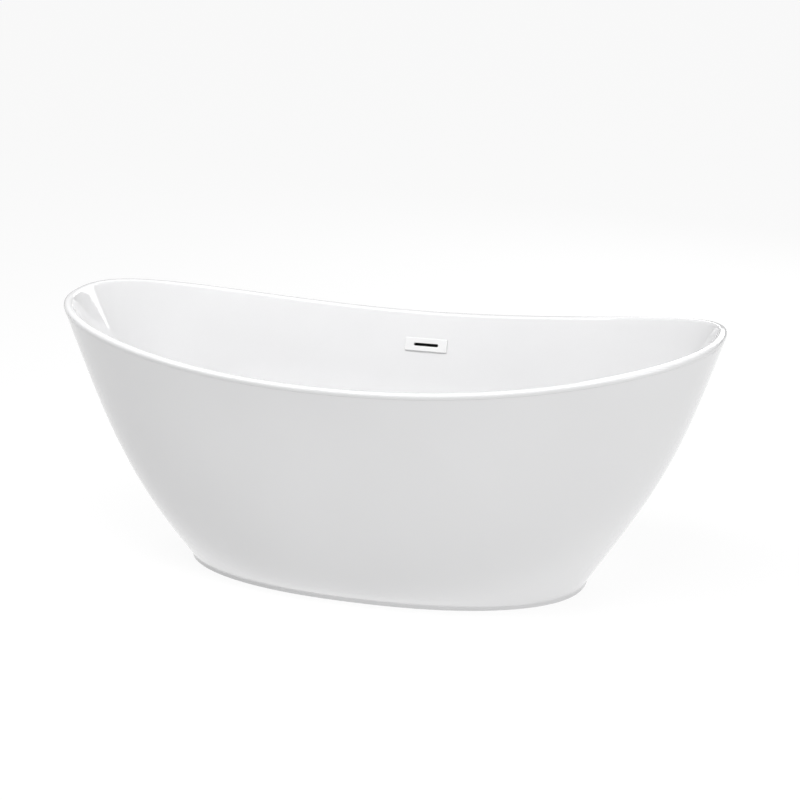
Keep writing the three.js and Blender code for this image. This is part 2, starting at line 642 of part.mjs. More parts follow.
// Worm-drive clamp round the hose: a band with its screw housing, along Z.
function hoseClamp() {
  const band = washer(HOSE_RADIUS + GAP, HOSE_RADIUS + 1.4, -5, 5);
  const housing = box([HOSE_RADIUS + 1, HOSE_RADIUS + 6], [-6, 6], [-4.5, 4.5]);
  return join(band, housing, rod(3, 5, 11, { x: HOSE_RADIUS + 3.6, steps: 6 }));
}

// ---------------------------------------------------------------- assembly

add("outer_apron", outerApron(), ACRYLIC);
add("inner_basin", innerBasin(), ACRYLIC);
add("rim_bond", rimBond(), ADHESIVE);
add("floor_board", floorBoard(), PLYWOOD);

const tubeMiddle = (TUBE_TOP + TUBE_FOOT) / 2;
add("frame_rail_front", squareTube("x", RAIL_LENGTH), GALVANISED, [0, -RAIL_Y, tubeMiddle]);
add("frame_rail_rear", squareTube("x", RAIL_LENGTH), GALVANISED, [0, RAIL_Y, tubeMiddle]);
for (const barName of Object.keys(CROSSBAR_XS)) {
  add("frame_crossbar_" + barName, crossbar(barName), GALVANISED);
}
FRAME_SCREWS.forEach(([bar, y], k) =>
  add("frame_screw_" + (k + 1), frameScrew(), ZINC, [CROSSBAR_XS[bar], y, TUBE_FOOT]),
);

SKIRT_STRAPS.forEach(([x, side], k) => {
  const strap = add("skirt_strap_" + (k + 1), skirtStrap(), GALVANISED, [x, 0, 0]);
  strap.rotation.z = side > 0 ? 0 : Math.PI;
  const top = FLANGE_THICKNESS + GAP + STRAP_THICKNESS;
  add("skirt_screw_" + (k + 1), skirtScrew(), ZINC, [x, side * SKIRT_SCREW_Y, top]);
});

FEET.forEach(({ x, y, reach }, k) => {
  const number = k + 1;
  add("foot_bracket_" + number, footBracket(reach), GALVANISED, [x, y, 0]);
  add("foot_lock_nut_" + number, hexRing(NUT_FOOT - GAP - LOCK_NUT_HEIGHT, NUT_FOOT - GAP), ZINC, [x, y, 0]);
  add("foot_stud_" + number, footStud(), ZINC, [x, y, 0]);
  add("foot_pad_" + number, footPad(), BLACK_PLASTIC, [x, y, 0]);
});

const waste = new THREE.Group();
waste.position.y = DRAIN_Y;
bathtub.add(waste);
const addWaste = (name, geometry, material) => add(name, geometry, material, [0, 0, 0], waste);
addWaste("waste_flange", wasteFlange(), CHROME);
addWaste("waste_flange_gasket", washer(23.6, 36, WASTE.recessFloor + 0.3, WASTE.recessFloor + 1.3), RUBBER);
addWaste("waste_lower_gasket", washer(23.6, 41, SHOE_TOP + GAP, WASTE.bossFoot - GAP), RUBBER);
addWaste("drain_shoe", drainShoe(), GREY_PLASTIC);
addWaste("tailpiece", washer(WASTE.tailBore, WASTE.tailRadius, WASTE.tailFoot, 51.5), CHROME);
addWaste("tailpiece_washer", washer(19.4, 27.8, WASTE.shoeFoot - 3.6, WASTE.shoeFoot - GAP), RUBBER);
addWaste("tailpiece_slip_nut", slipNut(), GREY_PLASTIC);
addWaste("plug_cartridge", washer(4.4, 8, WASTE.spokeTop + GAP, 126.6, 24), GREY_PLASTIC);
addWaste("plug_stem", post(PLUG.stemRadius, PLUG.stemFoot, PLUG.stemTop), CHROME);
addWaste("plug_seal", washer(12, 26, FLOOR_HEIGHT + 0.3, PLUG.foot - 0.3), RUBBER);
addWaste("plug_cap", plugCap(), CHROME);
addWaste("plug_spring", plugSpring(), ZINC);

bathtub.add(overflowGroup);
const addOverflow = (name, geometry, material, place) => add(name, geometry, material, place, overflowGroup);
addOverflow("overflow_cover", overflowCover(), COVER_WHITE);
addOverflow("overflow_gasket", overflowGasket(), RUBBER);
addOverflow("overflow_body", overflowBody(), BLACK_PLASTIC);
addOverflow("overflow_screw_left", overflowScrew(), ZINC, [-OVERFLOW.screwX, 0, 0]);
addOverflow("overflow_screw_right", overflowScrew(), ZINC, [OVERFLOW.screwX, 0, 0]);
addOverflow("hose_clamp_top", hoseClamp(), ZINC, [0, OVERFLOW.spigotY, OVERFLOW.spigotFoot + 11]);
add("overflow_hose", overflowHose(), BLACK_PLASTIC);
const lowerClampPlace = [0, DRAIN_Y + WASTE.branchReach - 11, WASTE.branchZ];
const lowerClamp = add("hose_clamp_bottom", hoseClamp(), ZINC, lowerClampPlace);
lowerClamp.rotation.x = Math.PI / 2;

export default bathtub;
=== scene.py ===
"""Freestanding slipper bathtub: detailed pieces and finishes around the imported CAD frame.

Lengths are in millimetres in the shape functions and in metres on the objects.
"""

import math

import bpy
import numpy as np
from bpy.props import FloatProperty, FloatVectorProperty, PointerProperty
from bpy.types import Operator, Panel, PropertyGroup
from mathutils import Matrix, Vector


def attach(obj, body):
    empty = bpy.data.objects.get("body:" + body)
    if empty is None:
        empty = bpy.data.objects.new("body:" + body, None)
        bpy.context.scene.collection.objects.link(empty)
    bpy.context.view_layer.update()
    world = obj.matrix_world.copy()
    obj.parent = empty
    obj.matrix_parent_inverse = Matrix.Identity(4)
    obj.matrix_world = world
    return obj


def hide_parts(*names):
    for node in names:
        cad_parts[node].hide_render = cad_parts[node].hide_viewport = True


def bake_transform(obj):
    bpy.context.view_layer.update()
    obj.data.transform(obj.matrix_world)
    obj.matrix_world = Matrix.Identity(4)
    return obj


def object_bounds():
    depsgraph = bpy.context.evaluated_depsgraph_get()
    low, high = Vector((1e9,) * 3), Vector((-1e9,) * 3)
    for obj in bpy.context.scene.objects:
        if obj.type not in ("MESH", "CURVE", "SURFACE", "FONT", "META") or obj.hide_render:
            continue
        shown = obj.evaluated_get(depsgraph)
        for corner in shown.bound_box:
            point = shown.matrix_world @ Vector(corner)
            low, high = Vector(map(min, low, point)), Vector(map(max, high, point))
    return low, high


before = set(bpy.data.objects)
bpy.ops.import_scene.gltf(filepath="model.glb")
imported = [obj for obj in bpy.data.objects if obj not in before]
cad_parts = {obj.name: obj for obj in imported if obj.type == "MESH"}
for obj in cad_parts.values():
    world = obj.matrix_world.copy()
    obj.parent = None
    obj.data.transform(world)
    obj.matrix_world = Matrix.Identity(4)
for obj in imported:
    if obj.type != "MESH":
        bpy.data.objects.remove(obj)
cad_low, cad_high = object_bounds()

bl_info = {
    "name": "Freestanding Slipper Bathtub",
    "version": (1, 0, 0),
    "blender": (4, 5, 0),
    "location": "3D View > Sidebar > Bathtub",
    "description": "Builds a double-ended slipper bathtub with its frame, waste and overflow",
    "category": "Object",
}

MM = 0.001

# ---------------------------------------------------------------- sizes and colours


def length_property(name, description, default):
    return FloatProperty(
        name=name, description=description, default=default, unit="LENGTH", subtype="DISTANCE"
    )


def colour_property(name, description, default):
    return FloatVectorProperty(
        name=name, description=description, default=default, subtype="COLOR", min=0, max=1
    )


def angle_property(name, description, degrees):
    return FloatProperty(name=name, description=description, default=math.radians(degrees), subtype="ANGLE")


def number_property(name, description, default):
    return FloatProperty(name=name, description=description, default=default)


class BathtubSizes(PropertyGroup):
    length: length_property("Length", "Overall length over the raised ends", 2 * cad_high.x)
    width: length_property("Width", "Overall width at the middle", 2 * cad_high.y)
    end_height: length_property("End height", "Top of the rim at the ends", cad_high.z)
    side_height: length_property("Side height", "Top of the rim at its lowest point", 0.583)
    base_length: length_property("Base length", "Length of the foot on the floor", 1.058)
    base_width: length_property("Base width", "Width of the foot on the floor", 0.54)
    rim_width: length_property("Rim width", "Width of the rolled rim", 0.022)
    floor_height: length_property("Basin floor", "Height of the basin's floor above the room's floor", 0.14)
    hose_radius: length_property("Hose radius", "Outer radius of the overflow hose", 0.0135)
    weld_radius: length_property("Weld radius", "Half width of a weld bead", 0.0024)


class BathtubColours(PropertyGroup):
    acrylic: colour_property("Acrylic", "Gloss white sheet of both skins", (0.775, 0.775, 0.78))
    cover: colour_property("Overflow cover", "Gloss moulded overflow cover", (0.82, 0.82, 0.82))
    resin: colour_property("Resin", "Glass-fibre backing on the hidden faces", (0.62, 0.58, 0.43))
    adhesive: colour_property("Adhesive", "Cured adhesive inside the rim", (0.6, 0.57, 0.45))
    plywood: colour_property("Plywood", "Face veneer of the floor board", (0.52, 0.35, 0.19))
    steel: colour_property("Galvanised steel", "Zinc skin of the frame", (0.5, 0.52, 0.54))
    zinc: colour_property("Zinc plate", "Bright plated fasteners", (0.66, 0.67, 0.68))
    chrome: colour_property("Chrome", "Waste, plug and tailpiece", (0.82, 0.83, 0.84))
    hose: colour_property("Hose", "Corrugated overflow hose", (0.02, 0.02, 0.022))
    fitting: colour_property("Fittings", "Moulded polypropylene drain fittings", (0.24, 0.25, 0.26))
    rubber: colour_property("Rubber", "Seals and washers", (0.012, 0.012, 0.012))


class BathtubStudio(PropertyGroup):
    azimuth: angle_property("Azimuth", "Camera's turn round the tub", 17.753)
    elevation: angle_property("Elevation", "Camera's angle above the floor", 17.531)
    roll: angle_property("Roll", "Camera's tilt to one side", -0.398)
    distance: length_property("Distance", "From the camera to the point that it aims at", 4.57)
    aim: FloatVectorProperty(
        name="Aim",
        description="Point in the middle of the view",
        default=(0.04125, 0, 0.44766),
        subtype="XYZ",
    )
    lens: number_property("Lens", "Focal length in millimetres on a 36 mm sensor", 81.27)
    floor: colour_property("Floor", "Plain pale studio floor", (0.12, 0.12, 0.12))
    floor_glow: number_property("Floor glow", "Light that the floor table gives from below", 0.9)
    ceiling: number_property("Ceiling light", "Strength of the light from straight above", 0.5)
    horizon: number_property("Wall light", "Strength of the light from the room's walls", 0.12)
    key: number_property("Overhead light", "Power of the large soft light above, in watts", 88)
    side: number_property("Side light", "Power of the soft light at the right, in watts", 30)
    rear: number_property("Rear light", "Power of the soft light behind the tub, in watts", 40)


# ---------------------------------------------------------------- shader values and finishes


class Value:
    """The value of a shader socket. Arithmetic on it adds Math nodes to its finish."""

    def __init__(self, finish, socket):
        self.finish = finish
        self.socket = socket

    def math(self, operation, *values):
        return self.finish.node("ShaderNodeMath", {"operation": operation}, dict(enumerate(values)))

    def __add__(self, other):
        return self.math("ADD", self, other)

    def __sub__(self, other):
        return self.math("SUBTRACT", self, other)

    def __rsub__(self, other):
        return self.math("SUBTRACT", other, self)

    def __mul__(self, other):
        return self.math("MULTIPLY", self, other)

    def __truediv__(self, other):
        return self.math("DIVIDE", self, other)

    __radd__ = __add__
    __rmul__ = __mul__

    def absolute(self):
        return self.math("ABSOLUTE", self)

    def fraction(self):
        return self.math("FRACT", self)

    def ramp(self, low, high, start=0.0, end=1.0):
        """From start to end as the value goes from low to high, and level outside."""
        spans = {"Value": self, "From Min": low, "From Max": high, "To Min": start, "To Max": end}
        return self.finish.node("ShaderNodeMapRange", {"interpolation_type": "SMOOTHSTEP"}, spans)


class NodeTree:
    """The nodes of a material or of the room, around one main shader."""

    def __init__(self, owner, kind, target):
        owner.use_nodes = True
        self.tree = owner.node_tree
        self.tree.nodes.clear()
        self.shader = self.tree.nodes.new(kind)
        output = self.tree.nodes.new(target)
        self.tree.links.new(self.shader.outputs[0], output.inputs["Surface"])

    def node(self, kind, settings=None, values=None, output=0):
        made = self.tree.nodes.new(kind)
        for key, value in (settings or {}).items():
            setattr(made, key, value)
        for key, value in (values or {}).items():
            self.feed(made.inputs[key], value)
        return Value(self, made.outputs[output])

    def feed(self, socket, value):
        if isinstance(value, Value):
            self.tree.links.new(value.socket, socket)
        elif socket.type == "RGBA" and len(value) == 3:
            socket.default_value = (*value, 1)
        else:
            socket.default_value = value

    def set(self, name, value):
        self.feed(self.shader.inputs[name], value)

    def axes(self, vector):
        made = self.tree.nodes.new("ShaderNodeSeparateXYZ")
        self.feed(made.inputs[0], vector)
        return [Value(self, socket) for socket in made.outputs]


class Finish(NodeTree):
    """A material with one Principled shader. Constant settings go straight on the shader's sockets."""

    def __init__(self, name, **constants):
        self.material = bpy.data.materials.new(name)
        super().__init__(self.material, "ShaderNodeBsdfPrincipled", "ShaderNodeOutputMaterial")
        for name, value in constants.items():
            self.set(name.replace("_", " "), value)

    def place(self):
        """Object coordinates in metres, so patterns ride with their piece."""
        return self.node("ShaderNodeTexCoord", output="Object")

    def tint(self, mask, colour, factor):
        """Base colour that goes to a lighter or darker shade of itself with the mask."""
        self.set("Base Color", self.blend(mask, colour, shade(colour, factor)))

    def face_direction(self):
        """The components of the face normal in the object's own space."""
        normal = self.node("ShaderNodeNewGeometry", output="Normal")
        spaces = {"vector_type": "NORMAL", "convert_from": "WORLD", "convert_to": "OBJECT"}
        return self.axes(self.node("ShaderNodeVectorTransform", spaces, {0: normal}))

    def stretch(self, vector, scale):
        return self.node("ShaderNodeVectorMath", {"operation": "MULTIPLY"}, {0: vector, 1: scale})

    def noise(self, scale, detail=3.0, roughness=0.5, at=None, distortion=0.0):
        values = {
            "Vector": at or self.place(),
            "Scale": scale,
            "Detail": detail,
            "Roughness": roughness,
            "Distortion": distortion,
        }
        return self.node("ShaderNodeTexNoise", {}, values)

    def cells(self, scale):
        """A plain random colour in each cell."""
        return self.node("ShaderNodeTexVoronoi", {}, {"Vector": self.place(), "Scale": scale}, "Color")

    def blend(self, mask, first, second):
        """A colour that goes from first to second as the mask goes from 0 to 1."""
        return self.node("ShaderNodeMix", {"data_type": "RGBA"}, {0: mask, 6: first, 7: second}, 2)

    def bump(self, height, distance, strength=1.0):
        values = {"Height": height, "Strength": strength, "Distance": distance}
        self.set("Normal", self.node("ShaderNodeBump", {}, values))


def shade(colour, factor):
    return tuple(min(1.0, channel * factor) for channel in colour)


def gloss_acrylic(colours):
    """Polished sanitary sheet: almost even white, with the faint long waves of a vacuum-formed sheet."""
    finish = Finish("gloss_acrylic", IOR=1.49, Coat_Roughness=0.03, Coat_IOR=1.5, Coat_Weight=0.25)
    cloud = finish.noise(3.0, detail=2)
    smudge = finish.noise(26, detail=5, roughness=0.6)
    finish.tint(cloud.ramp(0.35, 0.65), colours.acrylic, 0.985)
    finish.set("Roughness", 0.04 + 0.05 * smudge.ramp(0.45, 0.75))
    finish.bump(finish.noise(34, detail=1) + 0.3 * finish.noise(9, detail=1), 0.0006, 0.05)
    return finish.material


def gloss_cover(colours):
    """Injection-moulded cover: gloss with a slightly softer sheen than the tub."""
    finish = Finish("gloss_cover", IOR=1.5)
    fine = finish.noise(420, detail=2)
    finish.tint(fine, colours.cover, 0.97)
    finish.set("Roughness", 0.12 + 0.06 * fine)
    finish.bump(fine, 0.0001, 0.1)
    return finish.material


def glass_fibre(colours):
    """Chopped strands rolled into resin, rough and amber where the resin pools."""
    finish = Finish("glass_fibre_backing", IOR=1.5)
    place = finish.place()
    drift = finish.noise(9, detail=4)
    strands = 0
    for k, turn in enumerate([(1, 0.16, 0.5), (0.16, 1, 0.4), (0.5, 0.2, 1)]):
        field = finish.noise(170 + 40 * k, detail=3, at=finish.stretch(place, turn), distortion=1.2)
        strands = strands + field.ramp(0.56, 0.66)
    pool = finish.blend(drift.ramp(0.35, 0.7), shade(colours.resin, 1.15), shade(colours.resin, 0.72))
    finish.set("Base Color", finish.blend((0.55 * strands).ramp(0.0, 1.2), pool, (0.78, 0.77, 0.7)))
    finish.set("Roughness", 0.34 + 0.3 * drift)
    finish.bump(strands + 1.5 * drift, 0.0008, 0.6)
    return finish.material


def cured_adhesive(colours):
    finish = Finish("cured_adhesive")
    lumps = finish.noise(60, detail=4)
    finish.tint(lumps.ramp(0.3, 0.7), colours.adhesive, 0.8)
    finish.set("Roughness", 0.45 + 0.25 * lumps)
    finish.bump(lumps, 0.001, 0.5)
    return finish.material


def sealed_plywood(colours):
    """Birch plywood: long grain on the faces and stacked plies round the edge."""
    finish = Finish("sealed_plywood", IOR=1.45)
    place = finish.place()
    height = finish.axes(place)[2]
    upright = 1 - finish.face_direction()[2].absolute().ramp(0.4, 0.8)
    grain = finish.noise(7, detail=7, roughness=0.62, at=finish.stretch(place, (1, 16, 4)), distortion=0.5)
    pores = finish.noise(40, detail=4, at=finish.stretch(place, (1, 22, 1)))
    ply = (height / 0.002).fraction()
    stripe = (ply - 0.5).absolute().ramp(0.2, 0.3)
    face = finish.blend(grain.ramp(0.32, 0.68), shade(colours.plywood, 1.25), shade(colours.plywood, 0.7))
    face = finish.blend(0.5 * pores.ramp(0.58, 0.66), face, shade(colours.plywood, 0.4))
    edge = finish.blend(stripe, shade(colours.plywood, 1.2), shade(colours.plywood, 0.5))
    finish.set("Base Color", finish.blend(upright, face, edge))
    finish.set("Roughness", 0.42 + 0.2 * grain)
    finish.bump(grain + upright * stripe, 0.0003, 0.5)
    return finish.material


def galvanised_steel(colours):
    """Dull zinc with crystal spangle and a few dark streaks."""
    finish = Finish("galvanised_steel")
    spangle = finish.cells(95)
    tone = finish.axes(spangle)[0]
    streak = finish.noise(14, detail=5, at=finish.stretch(finish.place(), (0.4, 0.4, 3)))
    tint = finish.blend(tone, shade(colours.steel, 0.82), shade(colours.steel, 1.18))
    finish.set("Base Color", finish.blend(0.4 * streak.ramp(0.5, 0.75), tint, shade(colours.steel, 0.55)))
    finish.set("Metallic", 0.92 - 0.15 * streak)
    finish.set("Roughness", 0.34 + 0.14 * tone + 0.12 * streak)
    finish.bump(tone + 0.4 * finish.noise(400, detail=2), 0.00015, 0.4)
    return finish.material


def bright_zinc(colours):
    finish = Finish("bright_zinc_plate", Metallic=1.0)
    cloud = finish.noise(120, detail=4)
    finish.tint(cloud.ramp(0.3, 0.7), colours.zinc, 0.84)
    finish.set("Roughness", 0.24 + 0.16 * cloud)
    finish.bump(finish.noise(900, detail=2), 0.00004, 0.4)
    return finish.material


def polished_chrome(colours):
    """Mirror plate with the faint film that water leaves."""
    finish = Finish("polished_chrome", Metallic=1.0)
    film = finish.noise(55, detail=5, roughness=0.6)
    finish.tint(film.ramp(0.4, 0.7), colours.chrome, 0.94)
    finish.set("Roughness", 0.035 + 0.06 * film.ramp(0.45, 0.75))
    finish.bump(finish.noise(160, detail=1), 0.00003, 0.15)
    return finish.material


def moulded_plastic(name, colour, roughness, grain):
    """Matt moulding with a fine texture and slight flow marks."""
    finish = Finish(name, IOR=1.48)
    flow = finish.noise(18, detail=3, distortion=1.5)
    fine = finish.noise(grain, detail=2)
    finish.tint(flow.ramp(0.3, 0.7), colour, 1.25)
    finish.set("Roughness", roughness + 0.1 * flow + 0.06 * fine)
    finish.bump(fine + 0.5 * flow, 0.00012, 0.5)
    return finish.material


def dusty_rubber(colours):
    finish = Finish("moulded_rubber", IOR=1.52)
    dust = finish.noise(70, detail=5, roughness=0.65)
    finish.set("Base Color", finish.blend(0.5 * dust.ramp(0.5, 0.8), colours.rubber, (0.09, 0.088, 0.085)))
    finish.set("Roughness", 0.62 + 0.25 * dust)
    finish.bump(finish.noise(600, detail=3), 0.0001, 0.5)
    return finish.material


def weld_metal(colours):
    """Zinc-coated weld with a slightly darker, heat-tinted bead."""
    finish = Finish("weld_bead_metal", Metallic=1.0)
    patch = finish.noise(150, detail=4)
    warm = (0.34, 0.3, 0.26)
    finish.set("Base Color", finish.blend(patch.ramp(0.35, 0.7), shade(colours.steel, 0.8), warm))
    finish.set("Roughness", 0.36 + 0.2 * patch)
    finish.bump(patch, 0.0002, 0.5)
    return finish.material


FINISHES = {}


def finish_of(name):
    """The material of that name, made once."""
    colours = bpy.context.scene.bathtub_colours
    makers = {
        "acrylic": gloss_acrylic,
        "cover": gloss_cover,
        "glass_fibre": glass_fibre,
        "adhesive": cured_adhesive,
        "plywood": sealed_plywood,
        "steel": galvanised_steel,
        "zinc": bright_zinc,
        "chrome": polished_chrome,
        "black_plastic": lambda c: moulded_plastic("black_moulding", c.hose, 0.42, 500),
        "grey_plastic": lambda c: moulded_plastic("grey_moulding", c.fitting, 0.34, 380),
        "rubber": dusty_rubber,
        "weld": weld_metal,
    }
    if name not in FINISHES:
        FINISHES[name] = makers[name](colours)
    return FINISHES[name]


# ---------------------------------------------------------------- mesh helpers

# The faces of a box whose corners run through z, then x, then y, from low to high.
BOX_FACES = [[0, 1, 3, 2], [4, 6, 7, 5], [0, 4, 5, 1], [2, 3, 7, 6], [0, 2, 6, 4], [1, 5, 7, 3]]


def mesh_piece(name, points, faces, finish, body="tub", sharp=35, stands_for=()):
    """A closed piece from points and faces. It rides a body and can stand for CAD nodes."""
    mesh = bpy.data.meshes.new(name)
    placed = (np.asarray(points, float) * MM).tolist()
    mesh.from_pydata(placed, [], [list(map(int, face)) for face in faces])
    mesh.validate()
    mesh.shade_smooth()
    piece = bpy.data.objects.new(name, mesh)
    bpy.context.scene.collection.objects.link(piece)
    return dress(piece, finish, body, sharp, stands_for)


def dress(piece, finish, body, sharp=35, stands_for=()):
    piece.data.materials.clear()
    piece.data.materials.append(finish_of(finish))
    if sharp:
        piece.data.set_sharp_from_angle(angle=math.radians(sharp))
    if body:
        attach(piece, body)
    if stands_for:
        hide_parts(*stands_for)
    return piece


def ring_faces(rows, steps, closed=True, start=0, wrap=True):
    """Quads between rows of points that run round a piece."""
    faces = []
    across = range(rows if closed else rows - 1)
    for i in across:
        for j in range(steps if wrap else steps - 1):
            low, high = i * steps, ((i + 1) % rows) * steps
            k = (j + 1) % steps
            faces.append([start + low + j, start + low + k, start + high + k, start + high + j])
    return faces


def carve(piece, tools, operation="DIFFERENCE"):
    """Cuts or joins other meshes, which are used up."""
    for tool in tools:
        modifier = piece.modifiers.new("carve", "BOOLEAN")
        modifier.operation = operation
        modifier.solver = "EXACT"
        modifier.object = tool
    bpy.context.view_layer.update()
    ready = piece.evaluated_get(bpy.context.evaluated_depsgraph_get())
    made = bpy.data.meshes.new_from_object(ready)
    piece.modifiers.clear()
    old = piece.data
    piece.data = made
    bpy.data.meshes.remove(old)
    for tool in tools:
        bpy.data.objects.remove(tool)
    return piece


def loose_mesh(points, faces):
    """A mesh in millimetres that only serves to cut or join another one."""
    mesh = bpy.data.meshes.new("tool")
    mesh.from_pydata((np.asarray(points, float) * MM).tolist(), [], [list(map(int, f)) for f in faces])
    mesh.shade_smooth()
    tool = bpy.data.objects.new("tool", mesh)
    bpy.context.scene.collection.objects.link(tool)
    return tool


def taken_apart(tool):
    """The points, in millimetres, and the faces of a loose mesh, which is used up."""
    points = np.array([vertex.co for vertex in tool.data.vertices]) / MM
    faces = [list(polygon.vertices) for polygon in tool.data.polygons]
    bpy.data.objects.remove(tool)
    return points, faces


def fillet(profile, radii, steps=4):
    """The profile with its corners rounded: radii gives a radius for each point, 0 to keep it sharp."""
    made = []
    count = len(profile)
    for k, (point, radius) in enumerate(zip(profile, radii)):
        p = np.array(point, float)
        if not radius:
            made.append(list(p))
            continue
        before = np.array(profile[k - 1], float) - p
        after = np.array(profile[(k + 1) % count], float) - p
        u, v = before / np.linalg.norm(before), after / np.linalg.norm(after)
        half = math.acos(max(-1.0, min(1.0, float(u @ v)))) / 2
        reach = min(radius / math.tan(half), 0.49 * np.linalg.norm(before), 0.49 * np.linalg.norm(after))
        a, b = p + u * reach, p + v * reach
        for t in np.linspace(0, 1, steps + 1):
            made.append(list((1 - t) ** 2 * a + 2 * t * (1 - t) * p + t ** 2 * b))
    return made


def block(inner, outer, low, high, *radii):
    """A rectangular profile of a ring with its corners rounded: one radius, or one for each corner."""
    corners = [[inner, low], [outer, low], [outer, high], [inner, high]]
    return fillet(corners, radii if len(radii) > 1 else radii * 4)


def soften(node, finish, width=1.0, segments=3):
    """Dresses a CAD node and rounds its edges by a few tenths to a few millimetres."""
    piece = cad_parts[node]
    piece.data.materials.clear()
    piece.data.materials.append(finish_of(finish))
    piece.data.shade_smooth()
    piece.data.set_sharp_from_angle(angle=math.radians(32))
    weld = piece.modifiers.new("weld", "WELD")
    weld.merge_threshold = 0.00001
    bevel = piece.modifiers.new("round", "BEVEL")
    bevel.width = width * MM
    bevel.segments = segments
    bevel.limit_method = "ANGLE"
    bevel.angle_limit = math.radians(32)
    bevel.harden_normals = True
    return piece


# ---------------------------------------------------------------- the tub's own surfaces

RIM_EXPONENT = 2.4
BASE_EXPONENT = 2.25
FLOOR_EXPONENT = 2.8
FLOOR_LENGTH = 940
FLOOR_WIDTH = 390
TOE_HEIGHT = 10
LIP_DEPTH = 14
LIP_TURN = 0.245
RIM_OUTER_RADIUS = 8
RIM_INNER_RADIUS = 10
RIM_INNER_TURN = 0.41
GAP = 0.4
APRON_THICKNESS = 5
BASIN_THICKNESS = 6
FLANGE_WIDTH = 35
FLANGE_THICKNESS = 6
APRON_END = [[0.6, 0.45], [0.68, 0.51]]
APRON_SIDE = [[0.85, 0.1], [0.6, 0.55]]
BASIN_END = [[0.3, 0], [0.55, 0.3]]
BASIN_SIDE = [[0.42, 0], [0.26, 0.38]]
LIP_INSET = RIM_OUTER_RADIUS * (1 - math.cos(LIP_TURN))
LIP_INSET += (LIP_DEPTH - RIM_OUTER_RADIUS * (1 + math.sin(LIP_TURN))) * math.tan(LIP_TURN)
ROUND_STEPS = 240
ANGLES = np.linspace(0, 2 * np.pi, ROUND_STEPS, endpoint=False)

DRAIN_Y = 90
DRAIN = np.array([0, DRAIN_Y, 0])
BOSS_RADIUS = 46
SEAT_RADIUS = 37
DRAIN_HOLE_RADIUS = 25
SLIP_NUT_STEPS = 144
HOSE_STEPS = 32
HOSE_BORE_RADIUS = 11.6
CORRUGATION_PITCH = 4.6
CORRUGATION_DEPTH = 0.9
CUFF_LENGTH = 23
FLOOR_HALF = 40  # metres
FLOOR_DROP = 0.0005  # metres, so that the floor and the tub's foot don't lie in one plane
OVERFLOW_X = 12
OVERFLOW_DROP = 82
COVER_SCREW_XS = (-47, 47)
STUD_PITCH = 1.75
BOARD_FOOT = 115.6
BOARD_TOP = 133.6
TUBE = 30
TUBE_TOP = 115.2
TUBE_FOOT = 85.2
RAIL_Y = 150
CROSSBAR_XS = (-385, -140, 140, 385)
FRAME_SCREWS = ((-385, -60), (-385, 60), (385, -60), (385, 60))
SKIRT_SCREWS = ((-250, -224), (250, -224), (-250, 224), (250, 224))
FEET = ((-345, -112), (345, -112), (-345, 112), (345, 112))


def signed_power(value, power):
    return np.sign(value) * np.abs(value) ** power


def bezier(c1, c2, s):
    return 3 * (1 - s) ** 2 * s * c1 + 3 * (1 - s) * s ** 2 * c2 + s ** 3


def mix(low, high, share):
    return low + (high - low) * share


